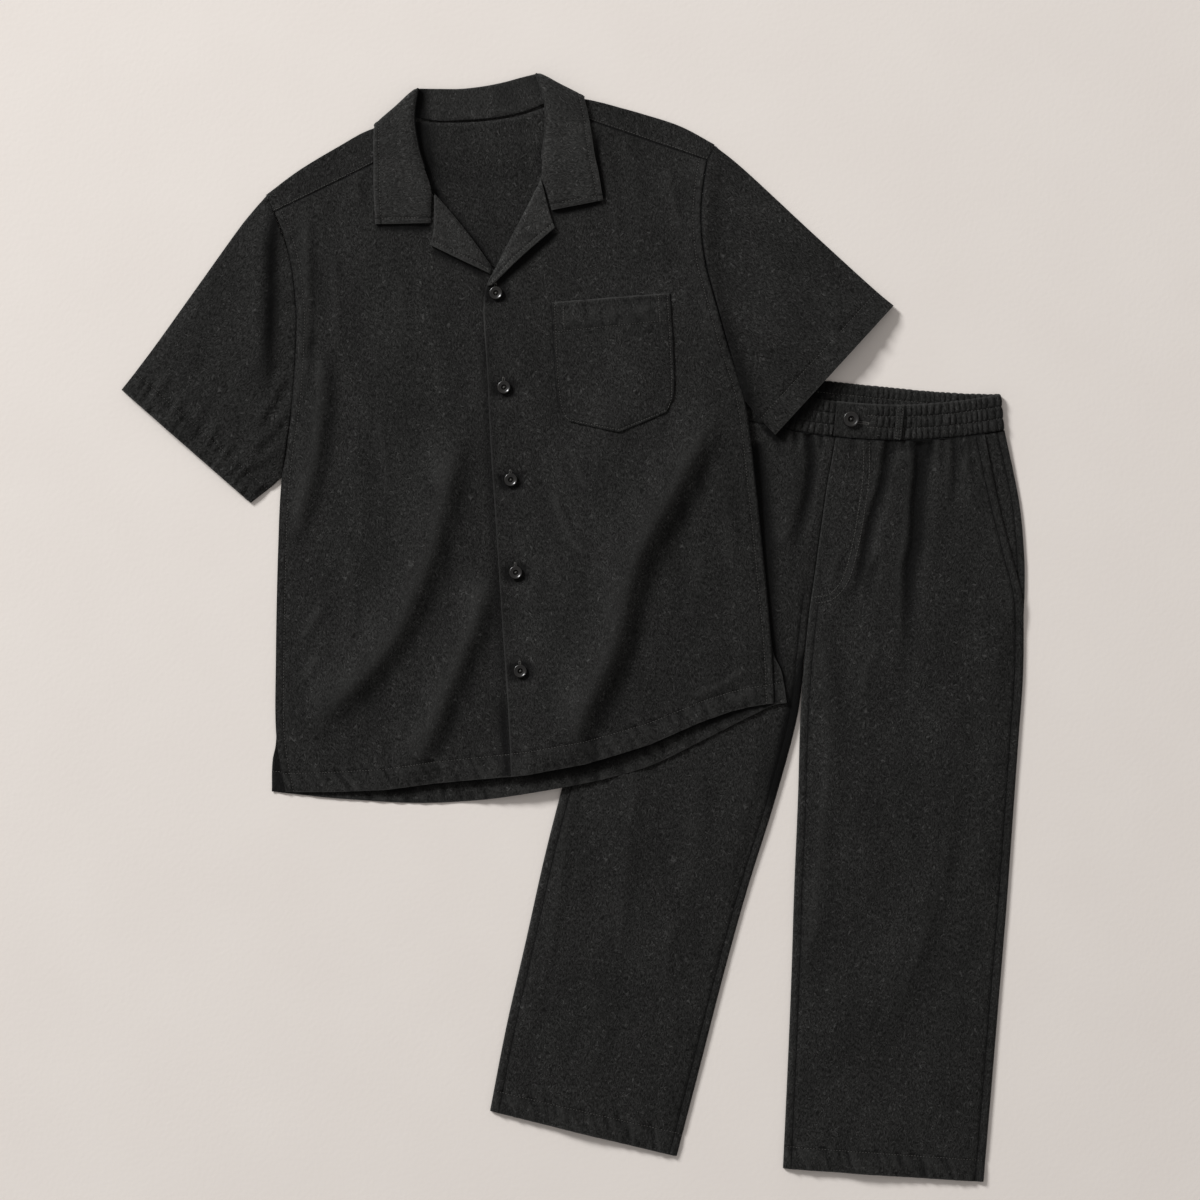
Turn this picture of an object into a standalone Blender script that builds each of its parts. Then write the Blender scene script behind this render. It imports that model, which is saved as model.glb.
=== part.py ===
"""A linen co-ord set laid flat: a short-sleeved shirt with an open notched collar, lying over a pair of
elastic-waisted trousers.

Every table and size here is in millimetres, and metres() scales the points as each mesh is made. X runs to the
right, Y up the sheet and Z up off the surface. "right" and "left" in a name are the wearer's, so a right-hand
piece lies on the left as seen from above. Each garment has its own frame, turned a little on the surface: the
shirt's starts at the middle of the back neck seam, and the trousers' where the fly meets the waistband.
"""

import math
from collections import namedtuple

import bmesh
import bpy
import numpy as np
from mathutils import Vector
from mathutils.bvhtree import BVHTree

MILLIMETRE = 0.001

# Walls, and the gaps between pieces
CLOTH = 1.2  # one layer of linen
DOUBLED = 2.0  # two layers sewn face to face, as in a collar
CASING = 2.2  # the waistband: cloth, elastic and cloth
SEAM = 0.3  # the gap between two pieces at a seam
LAYER = CLOTH + SEAM  # from one layer's middle to the next one's

Place = namedtuple("Place", "x y turn")
SHIRT = Place(-93, 541, 6)
TROUSERS = Place(281, 202, -6)

# Shirt body, below the first button: one row for each section across it
Body = namedtuple("Body", "name side_right edge side_left")
BODY = [
    Body("first button", (-221, -195), (-21, -191), (217, -190)),
    Body("pocket", (-233, -272), (-26, -272), (229, -262)),
    Body("underarm", (-254, -357), (-30.5, -350), (242, -328)),
    Body("waist", (-267, -440), (-34, -440), (244, -420)),
    Body("hip", (-280.5, -548), (-38, -540), (244, -510)),
    Body("vent", (-288.5, -628), (-41, -625), (243, -588)),
    Body("hem", (-285, -689), (-45, -697), (239.5, -649)),
]
LAP = 30  # how far the left front lies over the right one
LAP_CELLS = 2
SIDE_CELLS = 9
ROWS_BETWEEN = 3
YOKE_ROWS = 6  # from the shoulder seam down to the first button

# The hems. The back's corners stand out past the fronts' below the vents
FRONT_HEM = [
    (-285, -689), (-228, -694.5), (-179, -697.5), (-127, -696), (-46, -697), (-26, -697), (-4, -695), (34, -692),
    (72, -685), (104, -678.5), (137, -668), (159, -661), (192, -653), (214, -650), (239.5, -649),
]
BACK_HEM = [
    (-299.5, -686.5), (-270, -693), (-229, -701.5), (-150, -714.5), (-81, -718.5), (-17, -716), (48, -710.5),
    (102, -701), (146, -685.5), (202, -664), (237, -651.5), (252.5, -650),
]

# Armholes, shoulders and neck, from the shoulder inwards and down
ARMHOLE_RIGHT = [(-233, -77), (-225, -106), (-220, -139), (-220, -176), (-221, -195)]
ARMHOLE_LEFT = [(229, -70), (223, -92), (216, -128), (215, -164), (217, -190)]
SHOULDER_TIP_RIGHT = (-239, -58.5)
SHOULDER_TIP_LEFT = (238, -55)
SHOULDER_FOLD_RIGHT = [SHOULDER_TIP_RIGHT, (-201, -36), (-156, -15), (-123, -1.8), (-83, 4.5)]
SHOULDER_FOLD_LEFT = [(79, 6), (102, 7.5), (123, 1.5), (143, -6), (164, -14.2), (204, -32), SHOULDER_TIP_LEFT]
NECK_SEAM = [(-83, 4.5), (-63, 1), (-14, -4), (31, -3), (61, 3), (79, 6)]
SEAM_END_RIGHT = (-91, -25)
SEAM_END_LEFT = (76, 0)
SHOULDER_CELLS = 7
NECK_CELLS = 6
FRONT_EDGE_RIGHT = [SEAM_END_RIGHT, (-79, -49), (-52, -95), (-26, -136), (-5, -167), (9, -191)]
FRONT_EDGE_LEFT = [SEAM_END_LEFT, (64, -41), (46, -82), (17, -126), (-12, -171), (-21, -191)]

# Sleeves: the fold over the arm, and the seam under it, each from the armhole to the cuff
OVERARM_RIGHT = [SHOULDER_TIP_RIGHT, (-258, -76.5), (-274, -93), (-324, -149.5), (-376, -208), (-413, -247)]
UNDERARM_RIGHT = [(-254, -357), (-270, -367.5), (-290, -380)]
OVERARM_LEFT = [SHOULDER_TIP_LEFT, (267, -84), (328, -154), (390, -224), (409, -244)]
UNDERARM_LEFT = [(242, -328), (255, -347), (270, -367)]
SLEEVE_CELLS = 7
SLEEVE_HOLLOW = 0.8  # the air between a sleeve's two layers at its edges
SLEEVE_PUFF = 2.2  # and what its middle adds
SLEEVE_SEAM = 0.5
SLEEVE_TIP_EASE = 1.4  # at the shoulder the seam keeps off the fold of the back
UNDERARM_EASE = 2.6  # how far the foot of the sleeve keeps off the side seam

# The air in the body, and its largest folds, in the shirt's frame
BODY_AIR = 3.5
BODY_AIR_TOP = -40  # the air begins here, and is full this ramp further down
BODY_AIR_RAMP = 130
BODY_HALF_WIDTH = 252
BODY_LEAN = 0.026  # the middle of the body moves over as it goes down
FOLD_SIDE_RAMP = 60  # the folds die away towards the side seams
FOLD_ENDS = 0.4  # the share of a fold's length over which each end dies away
LAP_RISE_FOOT = 190  # where the left front has come down to the level of the right one
LAP_RISE_RAMP = 120
Fold = namedtuple("Fold", "name start end bend width height")
SHIRT_FOLDS = [
    Fold("right front, outer", (-50, -317), (-259, -636), 28, 28, 6.0),
    Fold("right front, inner", (-46, -467), (-154, -684), 8, 22, 5.0),
    Fold("left front, long", (208, -323), (13, -681), -13, 28, 7.5),
    Fold("right side", (-202, -226), (-256, -434), 8, 22, 3.5),
    Fold("right shoulder", (-196, -75), (-214, -215), 4, 18, 2.0),
    Fold("left shoulder", (208, -90), (214, -300), 0, 18, 2.0),
]
SLEEVE_FOLDS_RIGHT = [
    Fold("crown", (-246, -110), (-340, -290), -10, 24, 3.0),
    Fold("underarm", (-250, -230), (-300, -330), -6, 18, 2.5),
]
SLEEVE_FOLDS_LEFT = [
    Fold("crown", (246, -105), (336, -260), 10, 24, 3.0),
    Fold("underarm", (240, -225), (290, -330), 6, 18, 2.5),
]

Sleeve = namedtuple("Sleeve", "name side armhole overarm underarm folds")
SLEEVES = [
    Sleeve("shirt_sleeve_right", -1, ARMHOLE_RIGHT, OVERARM_RIGHT, UNDERARM_RIGHT, SLEEVE_FOLDS_RIGHT),
    Sleeve("shirt_sleeve_left", 1, ARMHOLE_LEFT, OVERARM_LEFT, UNDERARM_LEFT, SLEEVE_FOLDS_LEFT),
]

# The collar: one row for each station round the neck. roll is its folded edge, fall the free edge of the part
# that lies outside, and seam the edge sewn to the neck. turn is 0 where the fall lies on top, and 180 at the
# back, where it lies underneath. drop is how far a front station lies below the height at the shoulder.
Collar = namedtuple("Collar", "name roll fall seam turn drop")
COLLAR = [
    Collar("right point", (-68.5, -106), (-127, -101), None, 0, 2.2),
    Collar("right notch", (-66.5, -88), (-126, -83), None, 0, 2.2),
    Collar("right gorge", (-65, -69), (-125, -64), None, 0, 1.8),
    Collar("right breast", (-70, -46), (-123, -45), None, 0, 1.2),
    Collar("right front", (-74, -24), (-121.5, -30), (-88, -17), 0, 0.6),
    Collar("right side", (-75, 6), (-120, -14), (-86, -6), 0, 0),
    Collar("right fold, front", (-68, 36), (-117, 2), (-82, 10), 0, 0),
    Collar("right fold, upper", (-68, 36), (-117, 2), (-82, 10), 45, 0),
    Collar("right fold, edge", (-68, 36), (-117, 2), (-82, 10), 90, 0),
    Collar("right fold, lower", (-68, 36), (-117, 2), (-82, 10), 135, 0),
    Collar("right fold, back", (-68, 36), (-117, 2), (-82, 10), 180, 0),
    Collar("back, right", (-44, 33), (-72, -9), (-50, 1), 180, 0),
    Collar("back, right middle", (-22, 30.8), (-36, -13), (-24, -1), 180, 0),
    Collar("back, middle", (2, 31), (0, -14), (1, -2), 180, 0),
    Collar("back, left middle", (24, 33), (34, -12), (26, -1), 180, 0),
    Collar("back, left", (42, 36), (70, -4), (50, 3), 180, 0),
    Collar("left fold, back", (59, 38.5), (106, 8.8), (76, 12), 180, 0),
    Collar("left fold, lower", (59, 38.5), (106, 8.8), (76, 12), 135, 0),
    Collar("left fold, edge", (59, 38.5), (106, 8.8), (76, 12), 90, 0),
    Collar("left fold, upper", (59, 38.5), (106, 8.8), (76, 12), 45, 0),
    Collar("left fold, front", (59, 38.5), (106, 8.8), (76, 12), 0, 0),
    Collar("left side", (65, 10), (109, -12), (73.5, 0), 0, 0),
    Collar("left front", (63, -19), (110, -30), (70, -16), 0, 0.2),
    Collar("left breast", (57, -46), (111, -52), None, 0, 0.2),
    Collar("left gorge", (53.5, -69), (113, -70), None, 0, 0.2),
    Collar("left notch", (57, -88), (114, -86), None, 0, 0.2),
    Collar("left point", (60, -106), (115, -101), None, 0, 0.2),
]
COLLAR_MIDDLE = 4.9  # height of the axis that the collar turns over at the shoulders
FALL_RADIUS = 3.9
STAND_RADIUS = 1.4
COLLAR_INSET = 2.5  # the fold's axis lies this far inside the line of its outer edge
NECK_RISE = 2.3  # the shirt is lifted by the part of the collar that lies under it
NECK_RISE_HALF_WIDTH = 112
NECK_RISE_FOOT = -22
NECK_RISE_RAMP = 47

# Lapels: the facing, folded out along the roll line. gorge is its upper edge, from the roll to the tip, and
# free is the edge from the tip down to the first button.
Lapel = namedtuple("Lapel", "name roll gorge free")
LAPEL_RIGHT = Lapel(
    "shirt_facing_right",
    [(-62, -75), (-46, -98), (-28, -126), (-13, -151)],
    [(-62, -75), (-65.5, -110.5), (-72, -129)],
    [(-72, -129), (-45, -146), (-18, -160)],
)
LAPEL_LEFT = Lapel(
    "shirt_facing_left",
    [(52, -72.5), (25, -114), (-4, -158), (-17, -179)],
    [(52, -72.5), (57, -108), (61, -125)],
    [(61, -125), (24, -151), (-11, -178)],
)
LAPEL_CELLS = (6, 4)
LAPEL_LIFT = 1.4  # its free edge stands this much off the front
LAPEL_FOOT = 11  # each point rests on the highest part of the front within this distance

# Chest pocket, in the shirt's frame
POCKET = [(49, -203), (175, -207), (173, -280), (167, -317), (151, -335), (105, -348), (58, -331), (45, -311)]

# Buttons
SHIRT_BUTTONS = [(-8, -187), (-10, -287), (-13, -385), (-18, -483), (-24, -587)]
SHIRT_BUTTON_RADIUS = 7.0
TROUSER_BUTTON = (11, 20)
TROUSER_BUTTON_RADIUS = 8.4
BUTTON_THICKNESS = 2.8
BUTTON_STEPS = 16

# Trousers: one row for each section of a leg, from the waist seam to the hem. inner is the centre seam down to
# the crotch and the inside leg seam below it, and front is where the front panel ends.
Leg = namedtuple("Leg", "name inner front outer")
LEFT_LEG = [
    Leg("waist", (-3, 0), (153, 20), (174, 26)),
    Leg("high hip", (-6, -49), (173, -44), (197, -46)),
    Leg("hip", (-8, -103), (194, -102), (209, -105)),
    Leg("pocket end", (-9.5, -150), (210, -145), (214, -150)),
    Leg("seat", (-11, -190), (216, -180), (216, -180)),
    Leg("crotch", (-11, -232), (221, -236), (221, -236)),
    Leg("thigh", (-8.5, -300), (223, -300), (223, -300)),
    Leg("low thigh", (-2, -387), (226, -390), (226, -390)),
    Leg("knee", (4, -482), (229, -482), (229, -482)),
    Leg("calf", (11, -578), (231, -575), (231, -575)),
    Leg("shin", (17, -673), (233, -668), (233, -668)),
    Leg("hem", (23, -776), (235, -768), (235, -768)),
]
RIGHT_LEG = [
    Leg("waist", (-3.7, 0), (-174, 26), (-174, 26)),
    Leg("high hip", (-6.7, -49), (-197, -46), (-197, -46)),
    Leg("hip", (-8.7, -103), (-209, -105), (-209, -105)),
    Leg("pocket end", (-10.2, -150), (-215, -150), (-215, -150)),
    Leg("seat", (-11.8, -190), (-219, -184), (-219, -184)),
    Leg("crotch", (-12, -232), (-225, -226), (-225, -226)),
    Leg("thigh", (-12.6, -298), (-235, -288), (-235, -288)),
    Leg("low thigh", (-27, -390), (-248, -375), (-248, -375)),
    Leg("knee", (-46, -485), (-262, -470), (-262, -470)),
    Leg("calf", (-62, -580), (-273, -565), (-273, -565)),
    Leg("shin", (-76, -675), (-284, -657), (-284, -657)),
    Leg("hem", (-91, -775), (-292, -748), (-292, -748)),
]
LEG_COLUMNS = 16
BACK_LEG_COLUMNS = 6
LEG_ROWS_BETWEEN = 2
LEG_AIR = 2.6
FRONT_MIDDLE = CLOTH / 2 + LAYER
POCKET_FACING_LAP = 6
GATHER_PITCH = 19.5
GATHER_HEIGHT = 1.7
GATHER_LENGTH = 62
GATHER_END = -62  # the gathers further over are under the shirt
GATHER_PHASE = 3
JOIN_RAMP = 75  # the front rises to the waistband over this length
POCKET_RISE_END = -190  # down to here the left front's outer edge stands clear of the pocket's facing
POCKET_RISE_RAMP = 35
LEG_FOLDS = [
    Fold("left, long", (84, -40), (40, -420), 12, 22, 3.0),
    Fold("left, short", (130, -60), (150, -300), -8, 24, 2.0),
    Fold("left, knee", (110, -330), (150, -700), 10, 30, 1.8),
    Fold("right, thigh", (-150, -420), (-215, -690), 8, 30, 2.0),
    Fold("right, knee", (-80, -440), (-140, -700), -8, 24, 1.6),
]

# Waistband: a strip wound once round, its left end lapped over its right one at the front
BAND_HEIGHT = 37.2
BAND_HALF_WIDTH = 171.5
BAND_FRONT_RISE = 26  # the front seam curves up to the sides
BAND_BACK_FOOT = 20.5
BAND_TAPER = 0.043  # how much narrower its top edge is drawn
BAND_BACK_MIDDLE = CASING / 2
BAND_FRONT_MIDDLE = 5.1
BAND_LAP_START = -6
BAND_LAP_UNDER = 20
BAND_LAP_PLAIN = 34  # where the flat lap ends and the ribs begin
BAND_LAP_RISE = 2.7
RIB_PITCH = 6.4
RIB_HEIGHT = 0.5
RIB_PINCH = 0.45  # what is left of a rib where a line of stitching holds it down
RIBS_FRONT = -74  # the ribs further over are under the shirt
RIBS_BACK = -40
PLAIN_STEP = 14
BAND_ROWS = [0.0, 0.33, 0.66, 1.0]  # the lines of stitching that cross the ribs, and the two edges
BELT_LOOP_X = 62
BELT_LOOP_WIDTH = 7.5
BELT_LOOP_ROWS = 7

# How the shirt is lifted where it lies over the trousers
LEG_TOP = 6.6
WAIST_TOP = 8.6
WAIST_FADE = (-130, -50)
OVER_REACH = 30
OVER_RAMP = 80
REACH_PER_LAYER = 8

LINEN = ("charcoal linen", (0.016, 0.016, 0.015), 0.92)
BUTTON = ("dark horn button", (0.012, 0.012, 0.011), 0.35)


def turned(points, place):
    """Points of a garment's own frame, moved to the shared one."""
    points = np.asarray(points, float)
    c, s = math.cos(math.radians(place.turn)), math.sin(math.radians(place.turn))
    x, y = points[..., 0], points[..., 1]
    return np.stack([place.x + x * c - y * s, place.y + x * s + y * c], -1)


def turned_back(points, place):
    """Points of the shared frame, in a garment's own one."""
    points = np.asarray(points, float)
    c, s = math.cos(math.radians(place.turn)), math.sin(math.radians(place.turn))
    x, y = points[..., 0] - place.x, points[..., 1] - place.y
    return np.stack([x * c + y * s, -x * s + y * c], -1)


def ease(t):
    """0 below 0, 1 above 1, and a soft step in between."""
    t = np.clip(t, 0, 1)
    return t * t * (3 - 2 * t)


def through(rows, between):
    """A smooth run through each row's values, with this many steps from one row to the next."""
    rows = np.asarray(rows, float)
    padded = np.concatenate([[2 * rows[0] - rows[1]], rows, [2 * rows[-1] - rows[-2]]])
    out = []
    for i in range(len(rows) - 1):
        a, b, c, d = padded[i : i + 4]
        for t in np.arange(between) / between:
            square, cube = 2 * a - 5 * b + 4 * c - d, 3 * b - a - 3 * c + d
            out.append(b + 0.5 * ((c - a) * t + square * t**2 + cube * t**3))
    return np.array(out + [rows[-1]])


def evenly(points, count):
    """This many points, evenly spaced along the smooth curve through the ones given."""
    dense = through(points, 20)
    run = np.concatenate([[0], np.cumsum(np.linalg.norm(np.diff(dense, axis=0), axis=1))])
    at = np.linspace(0, run[-1], count)
    return np.stack([np.interp(at, run, dense[:, k]) for k in range(dense.shape[1])], -1)


def line(start, end, count):
    """Evenly spaced points on a straight line."""
    t = np.linspace(0, 1, count)[:, None]
    return np.asarray(start, float) * (1 - t) + np.asarray(end, float) * t


def patch(top, bottom, left, right):
    """The grid of points stretched between four edges that meet at the corners."""
    top, bottom, left, right = (np.asarray(e, float) for e in (top, bottom, left, right))
    v = np.linspace(0, 1, len(left))[:, None, None]
    u = np.linspace(0, 1, len(top))[None, :, None]
    across = (1 - v) * top[None] + v * bottom[None]
    along = (1 - u) * left[:, None] + u * right[:, None]
    corners = (1 - v) * ((1 - u) * top[0] + u * top[-1]) + v * ((1 - u) * bottom[0] + u * bottom[-1])
    return across + along - corners


def fold_height(points, folds):
    """How high the folds lift each point: a rounded ridge along a line that may bow sideways."""
    total = np.zeros(points.shape[:-1])
    for fold in folds:
        start, end = np.array(fold.start, float), np.array(fold.end, float)
        length = np.linalg.norm(end - start)
        along = (end - start) / length
        aside = np.array([-along[1], along[0]])
        t = (points - start) @ along / length
        off = (points - start) @ aside - fold.bend * np.sin(math.pi * np.clip(t, 0, 1))
        ends = ease(t / FOLD_ENDS + 0.3) * ease((1 - t) / FOLD_ENDS + 0.6)
        total += fold.height * np.exp(-((off / fold.width) ** 2)) * ends
    return total


def leg_edge(y):
    """Where the trousers' hidden outer edge lies, at a height in their own frame."""
    ys = [row.outer[1] for row in RIGHT_LEG][::-1]
    xs = [row.outer[0] for row in RIGHT_LEG][::-1]
    return np.interp(y, ys, xs)


def over_trousers(points, layer):
    """How far the trousers lift the shirt at each point. An upper layer starts to rise a little sooner."""
    own = turned_back(points, TROUSERS)
    x, y = own[..., 0], own[..., 1]
    reach = OVER_REACH + REACH_PER_LAYER * layer
    beside = ease((x - leg_edge(y) + reach + OVER_RAMP) / OVER_RAMP)
    above = ease((BAND_BACK_FOOT + BAND_HEIGHT - y + reach + OVER_RAMP) / OVER_RAMP)
    high, low = WAIST_FADE
    top = LEG_TOP + (WAIST_TOP - LEG_TOP) * ease((y - high) / (low - high))
    return top * beside * above


def neck_rise(own):
    """How far the part of the collar under the shirt lifts it, in the shirt's own frame."""
    beside = ease((NECK_RISE_HALF_WIDTH - np.abs(own[..., 0])) / NECK_RISE_RAMP + 1)
    below = ease((own[..., 1] - NECK_RISE_FOOT) / NECK_RISE_RAMP + 1)
    return NECK_RISE * beside * below


def body_air(own):
    """How far the front stands off the back."""
    x, y = own[..., 0], own[..., 1]
    across = np.clip(np.abs(x - BODY_LEAN * y) / BODY_HALF_WIDTH, 0, 1)
    return BODY_AIR * (1 - across**3) * ease((BODY_AIR_TOP - y) / BODY_AIR_RAMP)


def shirt_heights(own, layer):
    """Heights of a layer of the shirt's body: 0 is the back and 1 the front."""
    z = CLOTH / 2 + LAYER * layer + over_trousers(turned(own, SHIRT), layer) + neck_rise(own)
    if layer:
        inside = BODY_HALF_WIDTH - np.abs(own[..., 0] - BODY_LEAN * own[..., 1])
        z = z + body_air(own) + fold_height(own, SHIRT_FOLDS) * ease(inside / FOLD_SIDE_RAMP)
    return z


def lap_rise(own):
    """The left front lies one layer higher along the lap, and comes down towards its side."""
    return LAYER * ease((LAP_RISE_FOOT - own[..., 0]) / LAP_RISE_RAMP)


def lifted(own, place, z):
    """Points of the shared frame, with their heights."""
    return np.concatenate([turned(own, place), np.asarray(z)[..., None]], -1)


class Surface:
    """An open surface of triangles that a Solidify modifier turns into a wall of cloth."""

    def __init__(self):
        self.bm = bmesh.new()

    def points(self, rows):
        return [[self.bm.verts.new(Vector(p) * MILLIMETRE) for p in row] for row in rows]

    def skin(self, rows, closed=False):
        """Covers rows of points, with every cell split the same way so that stacked grids stay parallel."""
        for upper, lower in zip(rows, rows[1:]):
            count = len(upper)
            for j in range(count if closed else count - 1):
                k = (j + 1) % count
                self.bm.faces.new((upper[j], lower[j], lower[k]))
                self.bm.faces.new((upper[j], lower[k], upper[k]))

    def trim(self, outline):
        """Cuts away what lies outside an outline of straight sides, given anticlockwise from above."""
        for a, b in zip(outline, np.roll(outline, -1, axis=0)):
            outward = Vector((b[1] - a[1], a[0] - b[0], 0))
            every = self.bm.verts[:] + self.bm.edges[:] + self.bm.faces[:]
            bmesh.ops.bisect_plane(
                self.bm,
                geom=every,
                plane_co=Vector((a[0], a[1], 0)) * MILLIMETRE,
                plane_no=outward,
                clear_outer=True,
            )

    def wall(self, name, thickness, finish):
        bmesh.ops.recalc_face_normals(self.bm, faces=self.bm.faces)
        obj = to_object(self.bm, name, finish)
        solid = obj.modifiers.new("cloth wall", "SOLIDIFY")
        solid.thickness = thickness * MILLIMETRE
        solid.offset = 0
        return obj


def material(finish):
    """The named finish, made once."""
    name, colour, roughness = finish
    found = bpy.data.materials.get(name)
    if found:
        return found
    made = bpy.data.materials.new(name)
    made.use_nodes = True
    shader = made.node_tree.nodes["Principled BSDF"]
    shader.inputs["Base Color"].default_value = (*colour, 1)
    shader.inputs["Roughness"].default_value = roughness
    return made


def to_object(bm, name, finish):
    """Turns a bmesh into an object of the set."""
    mesh = bpy.data.meshes.new(name)
    bm.to_mesh(mesh)
    bm.free()
    mesh.shade_smooth()
    mesh.set_sharp_from_angle(angle=math.radians(35))
    mesh.materials.append(material(finish))
    obj = bpy.data.objects.new(name, mesh)
    bpy.data.collections["co-ord set"].objects.link(obj)
    return obj


def highest(objects, middle, radius):
    """The highest point of these pieces under a round spot, in millimetres."""
    bpy.context.view_layer.update()
    graph = bpy.context.evaluated_depsgraph_get()
    found = 0.0
    for obj in objects:
        tree = BVHTree.FromObject(obj, graph)
        for share in (0, 0.5, 1):
            for step in range(8 if share else 1):
                angle = math.tau * step / 8
                x = middle[0] + radius * share * math.cos(angle)
                y = middle[1] + radius * share * math.sin(angle)
                hit = tree.ray_cast(Vector((x * MILLIMETRE, y * MILLIMETRE, 1)), Vector((0, 0, -1)))[0]
                if hit:
                    found = max(found, hit.z / MILLIMETRE)
    return found


def body_rows():
    """The shirt's sections from the first button to the hem, each one a row of points across both fronts."""
    hem = np.array(FRONT_HEM, float)
    sides_right = through([row.side_right for row in BODY], ROWS_BETWEEN)
    edges = through([row.edge for row in BODY], ROWS_BETWEEN)
    sides_left = through([row.side_left for row in BODY], ROWS_BETWEEN)
    rows = []
    for right, edge, left in zip(sides_right, edges, sides_left):
        under = edge + (LAP, 0)
        rows.append(
            np.concatenate(
                [
                    line(right, edge, SIDE_CELLS + 1),
                    line(edge, under, LAP_CELLS + 1)[1:],
                    line(under, left, SIDE_CELLS + 1)[1:],
                ]
            )
        )
    rows = np.array(rows)
    bow = np.interp(rows[-1, :, 0], hem[:, 0], hem[:, 1]) - rows[-1, :, 1]
    for step in range(1, ROWS_BETWEEN + 1):
        rows[-1 - ROWS_BETWEEN + step, :, 1] += bow * step / ROWS_BETWEEN
    return rows


def front_grid(top, armhole, front_edge, lower, armhole_first):
    """A front panel: its yoke, stretched between the shoulder seam and the first button, and the body below."""
    side, inner = evenly(armhole, YOKE_ROWS), evenly(front_edge, YOKE_ROWS)
    left, right = (side, inner) if armhole_first else (inner, side)
    upper = patch(line(*top, lower.shape[1]), lower[0], left, right)
    return np.concatenate([upper[:-1], lower])


def make_front_right(body):
    lower = body[:, : SIDE_CELLS + LAP_CELLS + 1]
    own = front_grid((ARMHOLE_RIGHT[0], SEAM_END_RIGHT), ARMHOLE_RIGHT, FRONT_EDGE_RIGHT, lower, True)
    surface = Surface()
    surface.skin(surface.points(lifted(own, SHIRT, shirt_heights(own, 1))))
    return surface.wall("shirt_front_right", CLOTH, LINEN)


def front_left_points(body):
    lower = body[:, SIDE_CELLS:]
    own = front_grid((SEAM_END_LEFT, ARMHOLE_LEFT[0]), ARMHOLE_LEFT, FRONT_EDGE_LEFT, lower, False)
    return lifted(own, SHIRT, shirt_heights(own, 1) + lap_rise(own))


def make_front_left(body):
    surface = Surface()
    surface.skin(surface.points(front_left_points(body)))
    return surface.wall("shirt_front_left", CLOTH, LINEN)


def back_grid(body):
    """The back: from the shoulder folds and the neck seam down to the curved tail."""
    shoulder_right = evenly(SHOULDER_FOLD_RIGHT, SHOULDER_CELLS + 1)
    neck = evenly(NECK_SEAM, NECK_CELLS + 1)
    shoulder_left = evenly(SHOULDER_FOLD_LEFT, SHOULDER_CELLS + 1)
    top = np.concatenate([shoulder_right, neck[1:-1], shoulder_left])
    right = np.concatenate([[SHOULDER_TIP_RIGHT], evenly(ARMHOLE_RIGHT, YOKE_ROWS)])
    left = np.concatenate([[SHOULDER_TIP_LEFT], evenly(ARMHOLE_LEFT, YOKE_ROWS)])
    upper = patch(top, body[0], right, left)
    lower = body.copy()
    hem = np.array(BACK_HEM, float)
    flare_right = hem[0, 0] - body[-1][0][0]
    flare_left = hem[-1, 0] - body[-1][-1][0]
    for step in range(1, ROWS_BETWEEN + 1):
        share = step / ROWS_BETWEEN
        row = lower[-1 - ROWS_BETWEEN + step]
        row[:, 0] += np.linspace(flare_right, flare_left, len(row)) * share
        tail = np.interp(row[:, 0], hem[:, 0], hem[:, 1])
        row[:, 1] += (tail - body[-1][:, 1]) * share
    return np.concatenate([upper[:-1], lower])


def make_back(body):
    """The back, with the strips that wrap over the shoulders to the forward seams."""
    own = back_grid(body)
    heights = shirt_heights(own, 0)
    surface = Surface()
    rows = surface.points(lifted(own, SHIRT, heights))
    surface.skin(rows)
    wraps = (
        (slice(0, SHOULDER_CELLS + 1), (ARMHOLE_RIGHT[0], SEAM_END_RIGHT)),
        (slice(-SHOULDER_CELLS - 1, None), (SEAM_END_LEFT, ARMHOLE_LEFT[0])),
    )
    radius = LAYER / 2
    for columns, seam in wraps:
        fold, z = own[0][columns], heights[0][columns]
        run = np.gradient(fold, axis=0)
        outward = np.stack([-run[:, 1], run[:, 0]], -1) / np.linalg.norm(run, axis=1)[:, None]
        seam_points = line(*seam, len(fold)) + outward * SEAM
        strips = [
            lifted(fold + outward * radius, SHIRT, z + radius),
            lifted(fold, SHIRT, z + LAYER),
            lifted(seam_points, SHIRT, shirt_heights(seam_points, 1)),
        ]
        surface.skin([rows[0][columns], *surface.points(strips)])
    return surface.wall("shirt_back", CLOTH, LINEN)


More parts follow.
